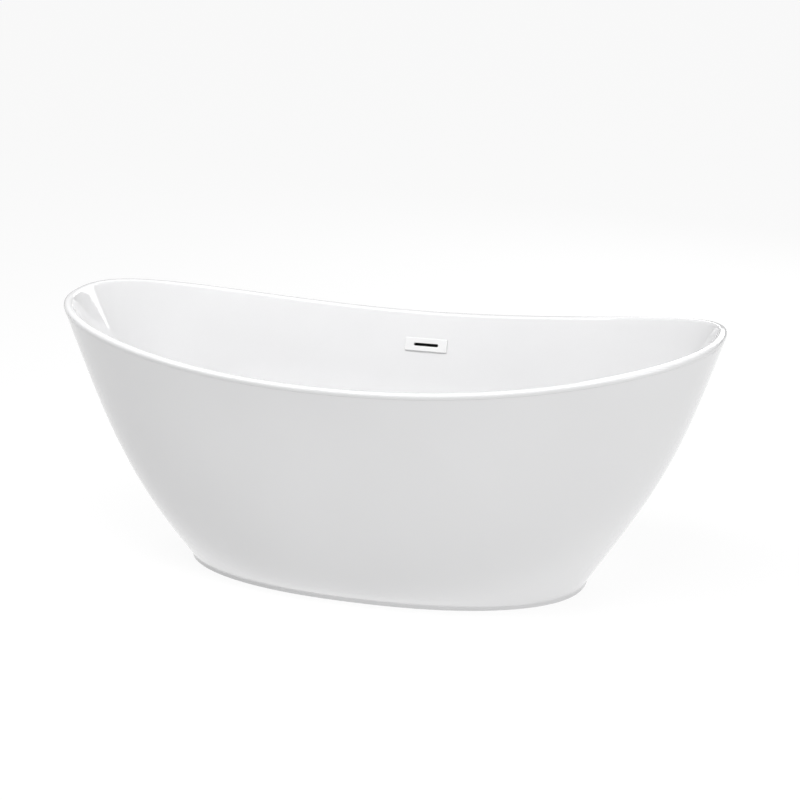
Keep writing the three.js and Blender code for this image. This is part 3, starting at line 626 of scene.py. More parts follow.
class TubShape:
    """The tub's surfaces in millimetres, from the sizes in the sidebar."""

    def __init__(self, sizes):
        self.half_length = sizes.length / MM / 2
        self.half_width = sizes.width / MM / 2
        self.end_height = sizes.end_height / MM
        self.side_height = sizes.side_height / MM
        self.base_a = sizes.base_length / MM / 2
        self.base_b = sizes.base_width / MM / 2
        self.rim_width = sizes.rim_width / MM
        self.floor = sizes.floor_height / MM

    def oval(self, a, b, exponent, z, angles=ANGLES):
        x = a * signed_power(np.cos(angles), 2 / exponent)
        y = b * signed_power(np.sin(angles), 2 / exponent)
        return np.stack([x, y, z + 0 * angles], axis=1)

    def rim_height(self, angles=ANGLES):
        along = signed_power(np.cos(angles), 2 / RIM_EXPONENT)
        return mix(self.side_height, self.end_height, along ** 2)

    def wall(self, lower, upper, ends, sides, s, angles=ANGLES):
        """A row at share s of a wall that leans out from a lower oval to an upper one."""
        share = np.cos(angles) ** 2
        up = mix(bezier(sides[0][1], sides[1][1], s), bezier(ends[0][1], ends[1][1], s), share)
        a = mix(lower[0], upper[0], bezier(ends[0][0], ends[1][0], s))
        b = mix(lower[1], upper[1], bezier(sides[0][0], sides[1][0], s))
        exponent = mix(lower[2], upper[2], s)
        height = mix(lower[3], self.rim_height(angles) - upper[3], up)
        return self.oval(a, b, exponent, height, angles)

    def apron(self, s, inset=0.0, angles=ANGLES):
        lower = (self.base_a - inset, self.base_b - inset, BASE_EXPONENT, TOE_HEIGHT)
        top = LIP_INSET + inset
        upper = (self.half_length - top, self.half_width - top, RIM_EXPONENT, LIP_DEPTH + GAP)
        return self.wall(lower, upper, APRON_END, APRON_SIDE, s, angles)

    def basin(self, s, angles=ANGLES):
        top = self.rim_width - RIM_INNER_RADIUS * (1 - math.cos(RIM_INNER_TURN))
        drop = RIM_INNER_RADIUS * (1 - math.sin(RIM_INNER_TURN))
        lower = (FLOOR_LENGTH / 2, FLOOR_WIDTH / 2, FLOOR_EXPONENT, self.floor)
        upper = (self.half_length - top, self.half_width - top, RIM_EXPONENT, drop)
        return self.wall(lower, upper, BASIN_END, BASIN_SIDE, s, angles)

    def basin_normal(self, s, angles=ANGLES):
        step = 0.004
        along = self.basin(s, angles + step) - self.basin(s, angles - step)
        up = self.basin(min(s + step, 1), angles) - self.basin(max(s - step, 0), angles)
        out = np.cross(along, up)
        return out / np.linalg.norm(out, axis=1, keepdims=True)

    def basin_back(self, s, angles=ANGLES):
        return self.basin(s, angles) + BASIN_THICKNESS * self.basin_normal(s, angles)

    def rim(self, inset, rise, angles=ANGLES):
        height = self.rim_height(angles) + rise
        return self.oval(self.half_length - inset, self.half_width - inset, RIM_EXPONENT, height, angles)

    def base(self, inset, z):
        return self.oval(self.base_a - inset, self.base_b - inset, BASE_EXPONENT, z)

    def rim_arc(self, inset, rise, radius, start, end, count):
        return [
            self.rim(inset + radius * math.cos(a), rise + radius * math.sin(a))
            for a in np.linspace(start, end, count)
        ]

    def overflow_place(self):
        """A function that puts points of the overflow's own frame on the basin's rear wall."""
        middle = np.array([np.pi / 2])
        low, high = 0.0, 1.0
        for _ in range(40):
            s = (low + high) / 2
            too_low = self.basin(s, middle)[0][2] < self.side_height - OVERFLOW_DROP
            low, high = (s, high) if too_low else (low, s)
        point, out = self.basin(low, middle)[0], self.basin_normal(low, middle)[0]
        turn = math.atan2(out[2], out[1])
        matrix = np.array(Matrix.Rotation(turn, 3, "X"))
        centre = np.array([OVERFLOW_X, point[1], point[2]])
        return lambda points: np.asarray(points, float) @ matrix.T + centre


def shape():
    return TubShape(bpy.context.scene.bathtub_sizes)


def paint_bands(piece, steps, finish, first, last):
    """Gives the bands between two rows of a ring-built piece a second finish."""
    piece.data.materials.append(finish_of(finish))
    for polygon in piece.data.polygons[first * steps : last * steps]:
        polygon.material_index = 1


# ---------------------------------------------------------------- shapes that repeat


def ring(radius, z, steps=96, centre=(0, 0)):
    """A row of points round an upright axis. The radius can differ with the angle."""
    angles = np.linspace(0, 2 * np.pi, steps, endpoint=False)
    radius = radius + 0 * angles
    x = centre[0] + radius * np.cos(angles)
    y = centre[1] + radius * np.sin(angles)
    return np.stack([x, y, z + 0 * angles], axis=1)


def turned_rows(profile, steps=96):
    return [ring(radius, z, steps) for radius, z in profile]


def lofted(rows, capped=False):
    """Points and faces of a closed solid from rows of points that run round it, from its foot up outside.
    Without caps the last row closes on the first one, as in a tube's wall."""
    steps = len(rows[0])
    points = list(rows)
    faces = ring_faces(len(rows), steps, closed=not capped)
    if capped:
        points += [[np.mean(rows[0], axis=0)], [np.mean(rows[-1], axis=0)]]
        foot = len(rows) * steps
        last = (len(rows) - 1) * steps
        for j in range(steps):
            k = (j + 1) % steps
            faces += [[foot, k, j], [foot + 1, last + j, last + k]]
    return np.concatenate(points), faces


def thread_rows(radius, depth, pitch, low, high, steps=36, hand=1):
    """Rows of a V thread from one height to another. It fades in and out over a turn at each end."""
    angles = np.linspace(0, 2 * np.pi, steps, endpoint=False)
    rows = []
    for z in np.arange(low, high + 1e-6, pitch / 6):
        phase = (z / pitch - hand * angles / (2 * np.pi)) % 1
        ridge = np.abs(2 * phase - 1)
        fade = min(1, (z - low) / pitch, (high - z) / pitch)
        rows.append(ring(radius - depth * ridge * max(fade, 0), z, steps))
    return rows


def hexagon(across, angles):
    """Distance from the middle to a hexagon's outline, by angle."""
    sector = (angles + np.pi / 6) % (np.pi / 3) - np.pi / 6
    return across / 2 / np.cos(sector)


def hex_nut_rows(across, bore, low, high, steps=96):
    """A hexagon nut with both faces chamfered and a countersunk, threaded bore."""
    angles = np.linspace(0, 2 * np.pi, steps, endpoint=False)
    flats = hexagon(across, angles)
    corner = across / 2
    rows = [ring(np.minimum(flats, corner * 0.98), low, steps)]
    for z in np.linspace(low, high, 9)[1:-1]:
        cone = corner * 0.98 + min(z - low, high - z) * 1.8
        rows.append(ring(np.minimum(flats, cone), z, steps))
    rows.append(ring(np.minimum(flats, corner * 0.98), high, steps))
    rows.append(ring(bore + 0.9, high, steps))
    rows.append(ring(bore, high - 0.9, steps))
    rows += thread_rows(bore, -0.25, STUD_PITCH, low + 1, high - 1, steps)[::-1]
    rows += [ring(bore, low + 0.9, steps), ring(bore + 0.9, low, steps)]
    return rows


def swept(path, radii, steps=16):
    """Points and faces of a rod along a path of points. Radii are one per point; each can differ by angle."""
    path = np.asarray(path, float)
    ahead = np.gradient(path, axis=0)
    ahead /= np.linalg.norm(ahead, axis=1, keepdims=True)
    side = np.cross(ahead[0], [0.31, 0.17, 0.93])
    rows = []
    angles = np.linspace(0, 2 * np.pi, steps, endpoint=False)
    for point, forward, radius in zip(path, ahead, radii):
        side = side - forward * (side @ forward)
        side /= np.linalg.norm(side)
        up = np.cross(forward, side)
        across, rise = radius * np.cos(angles), radius * np.sin(angles)
        rows.append(point + across[:, None] * side + rise[:, None] * up)
    return lofted(rows, capped=True)


def rounded_outline(width, height, radius, y, arc=10):
    """Points of a rounded rectangle in the overflow's frame, at a depth."""
    points = []
    for cx, cz, start in ((1, 1, 0), (-1, 1, 90), (-1, -1, 180), (1, -1, 270)):
        for a in np.radians(np.linspace(start, start + 90, arc)):
            x = cx * (width / 2 - radius) + radius * math.cos(a)
            z = cz * (height / 2 - radius) + radius * math.sin(a)
            points.append([x, y, z])
    return np.array(points)


def gather(parts):
    """Several sets of points and faces as one set."""
    points, faces, start = [], [], 0
    for part_points, part_faces in parts:
        points.append(np.asarray(part_points))
        faces += [[start + k for k in face] for face in part_faces]
        start += len(part_points)
    return np.concatenate(points), faces


def pan_screw(head_radius, head_height, radius, length, steps=48):
    """A pan-head screw that points down, with a cross recess. Zero is the underside of its head."""
    dome = [[head_radius, 0], [head_radius, head_height * 0.35]]
    for a in np.radians(np.linspace(15, 80, 6)):
        rim = head_radius * (0.35 + 0.65 * math.cos(a))
        dome.append([rim, head_height * (0.35 + 0.65 * math.sin(a))])
    tip = [ring(0.3, -length, steps), ring(radius * 0.75, -length + 1.6, steps)]
    thread = thread_rows(radius, 0.32, 1.4, -length + 1.7, -0.7, steps)
    rows = tip + thread + [ring(radius, -0.3, steps), ring(radius, 0, steps)] + turned_rows(dome, steps)
    points, faces = lofted(rows, capped=True)
    screw = loose_mesh(points, faces)
    arms = []
    for turn in (0, math.pi / 2):
        reach, half = head_radius * 0.55, head_radius * 0.11
        low, high = head_height * 0.4, head_height + 1
        corners = np.array([[x, y, z] for z in (low, high) for x in (-reach, reach) for y in (-half, half)])
        corners = corners @ np.array(Matrix.Rotation(turn, 3, "Z")).T
        corners[:4, :2] *= 0.55
        arms.append(loose_mesh(corners, BOX_FACES))
    return taken_apart(carve(screw, arms))


def weld_bead(start, end, radius, steps=10):
    """A bead with the ripples that a welder's weave leaves."""
    start, end = np.array(start, float), np.array(end, float)
    length = np.linalg.norm(end - start)
    count = max(8, int(length / 0.7))
    t = np.linspace(0, 1, count)
    path = start + (end - start) * t[:, None]
    ripple = 0.86 + 0.14 * np.abs(np.sin(t * length / 1.9 * np.pi))
    ends = np.clip(np.minimum(t, 1 - t) * length / radius, 0.15, 1) ** 0.5
    return swept(path, radius * ripple * ends, steps)


class BuildStep:
    """What all build operators share: they make their pieces and report that they're done."""

    def execute(self, context):
        self.build(context.scene)
        return {"FINISHED"}


# ---------------------------------------------------------------- operators: skins


class BATHTUB_OT_apron(BuildStep, Operator):
    """Build the outer apron: gloss outside, glass-fibre backing inside"""

    bl_idname = "bathtub.apron"
    bl_label = "Apron"

    def build(self, scene):
        tub = shape()
        outside = [tub.base(0, 0.6), tub.base(0, 4), tub.base(0, 8), tub.base(0, TOE_HEIGHT - 0.8)]
        outside += [tub.apron(s) for s in np.linspace(0, 1, 60)]
        tongue = [tub.rim(2.4, -LIP_DEPTH - GAP + 0.2), tub.rim(6.5, -LIP_DEPTH - GAP), tub.rim(6.5, -8.5)]
        tongue += [tub.rim(9.5, -8.5), tub.rim(9.5, -20)]
        inside = [tub.apron(s, APRON_THICKNESS) for s in np.linspace(0.92, 0, 44)]
        flange = [tub.base(APRON_THICKNESS, FLANGE_THICKNESS), tub.base(FLANGE_WIDTH - 1, FLANGE_THICKNESS)]
        flange += [tub.base(FLANGE_WIDTH, FLANGE_THICKNESS - 1), tub.base(FLANGE_WIDTH, 0), tub.base(0.6, 0)]
        rows = outside + tongue + inside + flange
        points, faces = lofted(rows)
        piece = mesh_piece("apron_shell", points, faces, "acrylic", stands_for=["outer_apron"])
        paint_bands(piece, ROUND_STEPS, "glass_fibre", len(outside) + 1, len(rows) - 2)


class BATHTUB_OT_basin(BuildStep, Operator):
    """Build the inner basin with its rolled rim, drain seat and overflow window"""

    bl_idname = "bathtub.basin"
    bl_label = "Basin"

    def build(self, scene):
        tub = shape()
        back = [tub.basin_back(s) for s in np.linspace(0, 1, 46)]
        under = [tub.rim(14, -6), tub.rim(6, -6), tub.rim(6, -LIP_DEPTH), tub.rim(LIP_INSET, -LIP_DEPTH)]
        outer = tub.rim_arc(RIM_OUTER_RADIUS, -RIM_OUTER_RADIUS, RIM_OUTER_RADIUS,
                            np.pi + LIP_TURN, np.pi / 2, 16)
        inner = tub.rim_arc(tub.rim_width - RIM_INNER_RADIUS, -RIM_INNER_RADIUS, RIM_INNER_RADIUS,
                            np.pi / 2, RIM_INNER_TURN, 12)[:-1]
        wall = [tub.basin(s) for s in np.linspace(1, 0, 84)]
        rows = back + under + outer + inner + wall
        points, faces = lofted(rows, capped=True)
        piece = mesh_piece("basin_shell", points, faces, "acrylic", sharp=0, body=None)
        paint_bands(piece, ROUND_STEPS, "glass_fibre", 0, len(back) + 1)
        self.cut_openings(piece, tub)
        piece.data.shade_smooth()
        piece.data.set_sharp_from_angle(angle=math.radians(30))
        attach(piece, "tub")
        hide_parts("inner_basin")

    def cut_openings(self, piece, tub):
        place = tub.overflow_place()

        def passage(width, height, radius, x=0):
            rows = [place(rounded_outline(width, height, radius, y) + [x, 0, 0]) for y in (15, -5)]
            return loose_mesh(*lofted(rows, capped=True))

        boss = loose_mesh(*lofted([ring(BOSS_RADIUS, z, 96, (0, DRAIN_Y)) for z in (130, 139)], capped=True))
        carve(piece, [boss], "UNION")
        windows = [passage(80, 20, 6)]
        windows += [passage(4.8, 4.8, 2.39, x) for x in COVER_SCREW_XS]
        hole, recess = DRAIN_HOLE_RADIUS, SEAT_RADIUS
        seat = [(hole, 125), (hole, 136), (recess, 136), (recess, 145)]
        seat = loose_mesh(*lofted([ring(radius, z, 97, (0, DRAIN_Y)) for radius, z in seat], capped=True))
        carve(piece, [seat] + windows)


class BATHTUB_OT_rim_bond(BuildStep, Operator):
    """Build the bead of adhesive that joins both skins inside the rim"""

    bl_idname = "bathtub.rim_bond"
    bl_label = "Rim adhesive"

    def build(self, scene):
        tub = shape()
        squeeze = 0.35 * np.sin(37 * ANGLES) + 0.25 * np.sin(91 * ANGLES + 1)
        section = [(13.2, -17.2), (11.7, -17.9), (10.1, -17.2), (9.95, -12)]
        section += [(10.1, -6.6), (11.7, -6.42), (13.3, -6.6), (13.45, -12)]
        rows = []
        for inset, rise in section:
            lift = np.where(rise < -15, squeeze.clip(-0.5, 0.5) * 0.9 + 0.4, 0)
            rows.append(tub.rim(inset, rise) + np.stack([0 * lift, 0 * lift, lift], axis=1))
        points, faces = lofted(rows)
        mesh_piece("rim_adhesive", points, faces, "adhesive", sharp=50, stands_for=["rim_bond"])


# ---------------------------------------------------------------- operators: floor board and frame


class BATHTUB_OT_board(BuildStep, Operator):
    """Build the plywood board bonded under the basin's floor"""

    bl_idname = "bathtub.board"
    bl_label = "Floor board"

    def build(self, scene):
        tub = shape()
        steps = 192
        angles = np.linspace(0, 2 * np.pi, steps, endpoint=False)

        def outline(inset, z):
            a, b = (size / 2 - 12 - inset for size in (FLOOR_LENGTH, FLOOR_WIDTH))
            return tub.oval(a, b, FLOOR_EXPONENT, z, angles)

        low, high = BOARD_FOOT, BOARD_TOP
        rows = [outline(0.8, low), outline(0, low + 0.8)]
        rows += [outline(0, z) for z in np.linspace(low + 1.6, high - 1.6, 5)]
        rows += [outline(0, high - 0.8), outline(0.8, high)]
        for radius, z in ((53, high), (52, high - 0.9), (52, low + 0.9), (53, low)):
            rows.append(ring(radius, z, steps, (0, DRAIN_Y)))
        points, faces = lofted(rows)
        mesh_piece("plywood_board", points, faces, "plywood", sharp=30, stands_for=["floor_board"])


class BATHTUB_OT_frame(BuildStep, Operator):
    """Finish the welded tube frame, its foot brackets and the skirt straps, and lay the weld beads"""

    bl_idname = "bathtub.frame"
    bl_label = "Steel frame"

    def build(self, scene):
        names = ["frame_rail_front", "frame_rail_rear"]
        names += ["frame_crossbar_" + side for side in ("left", "mid_left", "mid_right", "right")]
        for name in names:
            soften(name, "steel", 1.6, 4)
        for k in range(1, 5):
            soften(f"foot_bracket_{k}", "steel", 0.7)
            soften(f"skirt_strap_{k}", "steel", 0.9)
        radius = scene.bathtub_sizes.weld_radius / MM
        beads = []
        inner = RAIL_Y - TUBE / 2
        for x in CROSSBAR_XS:
            for side in (-1, 1):
                y = side * (inner - 0.6)
                for edge in (-1, 1):
                    corner = x + edge * (TUBE / 2 + 0.5)
                    beads.append(weld_bead([corner, y, TUBE_FOOT + 1], [corner, y, TUBE_TOP - 1], radius))
                beads.append(weld_bead([x - 13, y, TUBE_FOOT], [x + 13, y, TUBE_FOOT], radius * 0.7))
        for x, y in FEET:
            out, side = math.copysign(1, x), math.copysign(1, y)
            rail, bar = side * inner, out * (385 - TUBE / 2)
            low = TUBE_FOOT
            beads.append(weld_bead([x - out * 14, rail, low], [bar - out * 3, rail, low], radius))
            beads.append(weld_bead([bar, y - side * 14, low], [bar, rail - side * 3, low], radius))
            turn = np.linspace(0, 2 * np.pi, 90)
            path = [[x + 10.4 * math.cos(a), y + 10.4 * math.sin(a), 80.2] for a in turn]
            beads.append(swept(path, 1.3 + 0.25 * np.abs(np.sin(turn * 16)), 8))
        points, faces = gather(beads)
        mesh_piece("weld_beads", points, faces, "weld", sharp=0)


class BATHTUB_OT_screws(BuildStep, Operator):
    """Build the screws of the frame and of the skirt straps"""

    bl_idname = "bathtub.screws"
    bl_label = "Frame screws"

    def build(self, scene):
        points, faces = pan_screw(4.8, 2.6, 2.5, 42)
        for k, (x, y) in enumerate(FRAME_SCREWS, 1):
            placed = points * [1, -1, -1] + [x, y, TUBE_FOOT - 0.4]
            mesh_piece(f"board_screw_{k}", placed, faces, "zinc", sharp=40, stands_for=[f"frame_screw_{k}"])
        points, faces = pan_screw(4.2, 2.5, 2.0, 7.5)
        for k, (x, y) in enumerate(SKIRT_SCREWS, 1):
            placed = points + [x, y, FLANGE_THICKNESS + GAP + 3.3]
            mesh_piece(f"strap_screw_{k}", placed, faces, "zinc", sharp=40, stands_for=[f"skirt_screw_{k}"])


class BATHTUB_OT_feet(BuildStep, Operator):
    """Build the threaded studs, lock nuts and pads of the levelling feet"""

    bl_idname = "bathtub.feet"
    bl_label = "Levelling feet"

    def build(self, scene):
        shank = turned_rows([[0.4, 6.5], [3.4, 6.5], [4.3, 7], [5.1, 8.5], [5.1, 10]], 36)
        shank += thread_rows(6, 0.9, STUD_PITCH, 10.5, 95.2, 36)
        shank += turned_rows([[5.2, 96], [4.6, 96.9], [0.4, 97]], 36)
        points, faces = lofted(shank, capped=True)
        stud = loose_mesh(points, faces)
        slot = np.array([[x, y, z] for z in (94.5, 98) for x in (-8, 8) for y in (-0.9, 0.9)])
        carve(stud, [loose_mesh(slot, BOX_FACES)])
        points, faces = taken_apart(stud)
        nut = lofted(hex_nut_rows(18.2, 6.05, 65.4, 71.4))
        pad = self.pad()
        for k, (x, y) in enumerate(FEET, 1):
            mesh_piece(f"levelling_stud_{k}", points + [x, y, 0], faces, "zinc", f"stud_{k}", 50,
                       stands_for=[f"foot_stud_{k}"])
            mesh_piece(f"lock_nut_{k}", nut[0] + [x, y, 0], nut[1], "zinc", stands_for=[f"foot_lock_nut_{k}"])
            mesh_piece(f"levelling_pad_{k}", pad[0] + [x, y, 0], pad[1], "black_plastic", f"foot_{k}",
                       stands_for=[f"foot_pad_{k}"])

    def pad(self):
        """A flared foot with grip flutes round its neck and a socket for the stud's tip."""
        steps = 120
        angles = np.linspace(0, 2 * np.pi, steps, endpoint=False)
        flute = 0.5 * (1 - np.cos(18 * angles))
        flange = [[20, 0.5], [22.6, 0], [24.2, 0], [24.8, 0.4], [25, 1.1], [25, 3.2], [24.5, 4.1]]
        socket = [[10.7, 15.7], [10, 16], [7.4, 16], [6.7, 15.6], [6.4, 15], [6.4, 7], [5.6, 6.1], [0.5, 6.1]]
        rows = turned_rows(flange, steps)
        for s in np.linspace(0, 1, 9):
            radius = mix(24, 13, s) - 1.2 * math.sin(math.pi * s)
            groove = 0.7 * flute * math.sin(math.pi * min(s + 0.3, 1))
            rows.append(ring(radius - groove, mix(4.5, 11, s), steps))
        rows += [ring(r - 0.5 * flute, z, steps) for r, z in ((12.3, 12.5), (11.6, 14.6))]
        rows += turned_rows(socket, steps)
        return lofted(rows, capped=True)


# ---------------------------------------------------------------- operators: waste


def turned_piece(name, profile, finish, node, body="tub", steps=96, capped=False):
    """A turned piece on the drain's axis that stands for a CAD node."""
    points, faces = lofted(turned_rows(profile, steps), capped)
    mesh_piece(name, points + DRAIN, faces, finish, body, stands_for=[node])


class BATHTUB_OT_waste(BuildStep, Operator):
    """Build the waste flange with its spokes, and the plug with its cap, seal, stem and spring"""

    bl_idname = "bathtub.waste"
    bl_label = "Pop-up waste"

    def build(self, scene):
        self.flange()
        self.plug()
        self.fittings()

    def flange(self):
        threads = thread_rows(23, 0.7, 1.8, 101, 129, 96)
        rows = turned_rows([[20, 100.6], [20.5, 100], [22.2, 100], [22.7, 100.5]]) + threads
        lip = [[22.9, 130], [23, 137.4], [23.6, 137.6], [35.4, 137.6], [36, 138], [36, 139], [35.7, 139.6]]
        lip += [[35, 139.95], [34, 140], [24, 140], [22.4, 139.5], [20.9, 138.3], [20.1, 136.9], [20, 135]]
        rows += turned_rows(lip)
        body = loose_mesh(*lofted(rows))
        body.location = (0, DRAIN_Y * MM, 0)
        hub = fillet([[4.8, 104], [9, 104], [9, 109], [4.8, 109]], [0.6] * 4, 3)
        spokes = [lofted(turned_rows(hub, 48))]
        for k in range(3):
            turn = np.array(Matrix.Rotation(2 * math.pi * k / 3 + math.pi / 2, 3, "Z"))
            outline = block(-2, 2, 104, 109, 1.2)
            rows = [[[x, y, z] for y, z in outline] for x in (7.5, 21)]
            spokes.append(lofted([np.array(row) @ turn.T for row in rows], capped=True))
        tools = [loose_mesh(points + DRAIN, faces) for points, faces in spokes]
        carve(body, tools, "UNION")
        body.name = "chromed_waste_flange"
        dress(body, "chrome", "tub", 35, ["waste_flange"])

    def plug(self):
        sweep = np.radians(np.linspace(0, 88, 14))
        dome = [[31 * math.cos(a), mix(143.2, 146.2, math.sin(a))] for a in sweep]
        cap = [[4.4, 142], [28.6, 142], [29.6, 142.1], [30.4, 142.4], [30.9, 142.8]] + dome + [[0.4, 146.2]]
        inner = [[0.4, 144.4], [4.2, 144.4], [4.4, 144.2]]
        turned_piece("plug_cap_chromed", cap + inner, "chrome", "plug_cap", "plug")
        seal = block(12, 26, 140.3, 141.7, 0.4)
        turned_piece("plug_lip_seal", seal, "rubber", "plug_seal", "plug")
        stem = [[0.4, 102], [2.9, 102], [3.7, 102.8], [4, 103.6]]
        stem += [[4, 110], [3.2, 110.6], [3.2, 112.2], [4, 112.8]]
        stem += [[4, z] for z in (118, 124, 130, 136)] + [[4, 142.8], [3.4, 143.8], [0.4, 144]]
        turned_piece("plug_pin", stem, "chrome", "plug_stem", "plug", 64, capped=True)
        turns = np.linspace(0, 5, 5 * 36 + 1)
        lift = 127.4 + (140.6 - 127.4) * turns / 5
        angle = 2 * np.pi * turns
        path = np.stack([6.4 * np.cos(angle), DRAIN_Y + 6.4 * np.sin(angle), lift], axis=1)
        points, faces = swept(path, np.full(len(path), 0.78), 12)
        spring = mesh_piece("plug_coil", points, faces, "zinc", None, 40)
        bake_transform(spring)
        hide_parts("plug_spring")

    def fittings(self):
        washers = {
            "waste_flange_gasket": (23.6, 36, 136.3, 137.3),
            "waste_lower_gasket": (23.6, 41, 126.6, 129.6),
            "tailpiece_washer": (19.4, 27.8, 36.4, 39.6),
        }
        for node, (bore, rim, low, high) in washers.items():
            profile = block(bore, rim, low, high, 0.3 * (high - low))
            turned_piece(node + "_ring", profile, "rubber", node)
        tail = [[17, 14.4], [17.4, 14], [18.6, 14], [19, 14.4]]
        tail += [[19, 16], [18.8, 16.4], [18.8, 17], [19, 17.4]]
        tail += [[19, z] for z in (24, 30, 40, 50.8)] + [[18.6, 51.5], [17.5, 51.5], [17, 51]]
        turned_piece("waste_tailpiece", tail, "chrome", "tailpiece")
        guide = block(4.4, 8, 109.4, 126.6, 0.4, 0.9, 0.9, 0.4)
        turned_piece("plug_guide", guide, "grey_plastic", "plug_cartridge", steps=64)
        self.slip_nut()
        soften("drain_shoe", "grey_plastic", 0.7)

    def slip_nut(self):
        steps = SLIP_NUT_STEPS
        angles = np.linspace(0, 2 * np.pi, steps, endpoint=False)
        rib = 2.4 * np.clip(2.2 * np.cos(6 * angles) - 0.9, 0, 1)
        rows = turned_rows([[19.4, 32.6], [20, 32], [30.6, 32]], steps)
        rows += [ring(31.4 + rib * 0.7, 32.3, steps)]
        rows += [ring(32 + rib, z, steps) for z in (33.2, 36, 40, 44, 46.8)]
        rows += [ring(31.5 + rib * 0.7, 47.7, steps)]
        rows += turned_rows([[30.6, 48], [28.9, 48], [28.4, 47.5]], steps)
        rows += thread_rows(28.4, 0.0, 2, 37, 47, steps)[::-1]
        rows += turned_rows([[28.4, 36.4], [28, 36], [20, 36], [19.4, 35.4]], steps)
        points, faces = lofted(rows)
        mesh_piece("ribbed_slip_nut", points + DRAIN, faces, "grey_plastic",
                   stands_for=["tailpiece_slip_nut"])


# ---------------------------------------------------------------- operators: overflow


class BATHTUB_OT_overflow(BuildStep, Operator):
    """Build the slotted overflow cover and the fittings behind it"""

    bl_idname = "bathtub.overflow"
    bl_label = "Overflow"

    def build(self, scene):
        self.place = shape().overflow_place()
        self.cover()
        points, faces = pan_screw(4.2, 2.1, 2.0, 21)
        flip = points[:, [0, 2, 1]] * [1, -1, 1] + [0, -0.4, 0]
        for side, x in zip(("left", "right"), COVER_SCREW_XS):
            mesh_piece(f"clamping_screw_{side}", self.place(flip + [x, 0, 0]), faces, "zinc", sharp=40,
                       stands_for=[f"overflow_screw_{side}"])
        soften("overflow_gasket", "rubber", 0.4)
        soften("overflow_body", "black_plastic", 1.2, 4)
        for end in ("top", "bottom"):
            soften(f"hose_clamp_{end}", "zinc", 0.3)

    def cover(self):
        outlines = [(117.4, 35.4, 2.7, -0.4), (118, 36, 3, -0.7), (118, 36, 3, -2.0)]
        for a in np.radians(np.linspace(0, 90, 8)):
            inset = 1.9 * (1 - math.cos(a))
            outlines.append((118 - 2 * inset, 36 - 2 * inset, 3.2 - inset / 2, -2.5 - 1.9 * math.sin(a)))
        for a in np.radians(np.linspace(90, 0, 5)):
            spread = 0.8 * (1 - math.cos(a))
            outlines.append((68 + 2 * spread, 8 + 2 * spread, 3.9 + spread, -3.6 - 0.8 * math.sin(a)))
        outlines += [(68, 8, 3.9, -2), (68, 8, 3.9, -0.5), (71, 11, 3, -0.4), (71, 11, 3, 11.6)]
        outlines += [(71.8, 11.8, 3.4, 12), (76.2, 16.2, 4.6, 12), (77, 17, 5, 11.6), (77, 17, 5, -0.4)]
        rows = [rounded_outline(*outline) for outline in outlines]
        points, faces = lofted(rows)
        cover = loose_mesh(self.place(points), faces)
        pockets = []
        for x in COVER_SCREW_XS:
            discs = [self.place(rounded_outline(10, 10, 4.99, y) + [x, 0, 0]) for y in (4, -3)]
            pockets.append(loose_mesh(*lofted(discs, capped=True)))
        carve(cover, pockets)
        cover.name = "slotted_overflow_cover"
        cover.data.shade_smooth()
        dress(cover, "cover", "tub", 30, ["overflow_cover"])


class BATHTUB_OT_hose(BuildStep, Operator):
    """Build the corrugated overflow hose"""

    bl_idname = "bathtub.hose"
    bl_label = "Overflow hose"

    def build(self, scene):
        outer = scene.bathtub_sizes.hose_radius / MM
        path, along = self.route()
        total = along[-1]
        wave = np.cos(2 * np.pi * along / CORRUGATION_PITCH)
        middle = np.clip(np.minimum(along, total - along) - CUFF_LENGTH, 0, 4) / 4
        radii = outer - CORRUGATION_DEPTH * middle * (1 - wave) / 2
        steps = HOSE_STEPS
        points, faces = swept(path, radii, steps)
        bore, _ = swept(path, np.full(len(path), HOSE_BORE_RADIUS), steps)
        rows = len(path)
        outside = points[: rows * steps].reshape(rows, steps, 3)
        inside = bore[: rows * steps].reshape(rows, steps, 3)[::-1]
        points, faces = lofted(list(outside) + list(inside))
        mesh_piece("corrugated_hose", points, faces, "black_plastic", sharp=60, stands_for=["overflow_hose"])

    def route(self):
        """Points along the hose's middle and their distance from its upper end."""
        place = shape().overflow_place()
        stops = list(place([[0, 24, -24], [0, 24, -46]]))
        bends = [(322, 375), (308, 290), (290, 200), (260, 125), (218, 75), (178, 67), (166, 66), (144, 66)]
        for y, z in bends:
            stops.append(np.array([max(0, OVERFLOW_X * (z - 125)) / 325, y, z]))
        stops = [2 * stops[0] - stops[1]] + stops + [2 * stops[-1] - stops[-2]]
        line = []
        for p0, p1, p2, p3 in zip(stops, stops[1:], stops[2:], stops[3:]):
            d0, d1, d2 = (math.sqrt(np.linalg.norm(b - a)) for a, b in ((p0, p1), (p1, p2), (p2, p3)))
            t1 = ((p1 - p0) / d0 - (p2 - p0) / (d0 + d1) + (p2 - p1) / d1) * d1
            t2 = ((p2 - p1) / d1 - (p3 - p1) / (d1 + d2) + (p3 - p2) / d2) * d1
            for t in np.linspace(0, 1, 40, endpoint=False):
                line.append((2 * t ** 3 - 3 * t ** 2 + 1) * p1 + (t ** 3 - 2 * t ** 2 + t) * t1
                            + (3 * t ** 2 - 2 * t ** 3) * p2 + (t ** 3 - t ** 2) * t2)
        line = np.array(line + [stops[-2]])
        lengths = np.concatenate([[0], np.cumsum(np.linalg.norm(np.diff(line, axis=0), axis=1))])
        even = np.linspace(0, lengths[-1], int(lengths[-1] / 0.75))
        return np.stack([np.interp(even, lengths, line[:, k]) for k in range(3)], axis=1), even


# ---------------------------------------------------------------- operators: studio


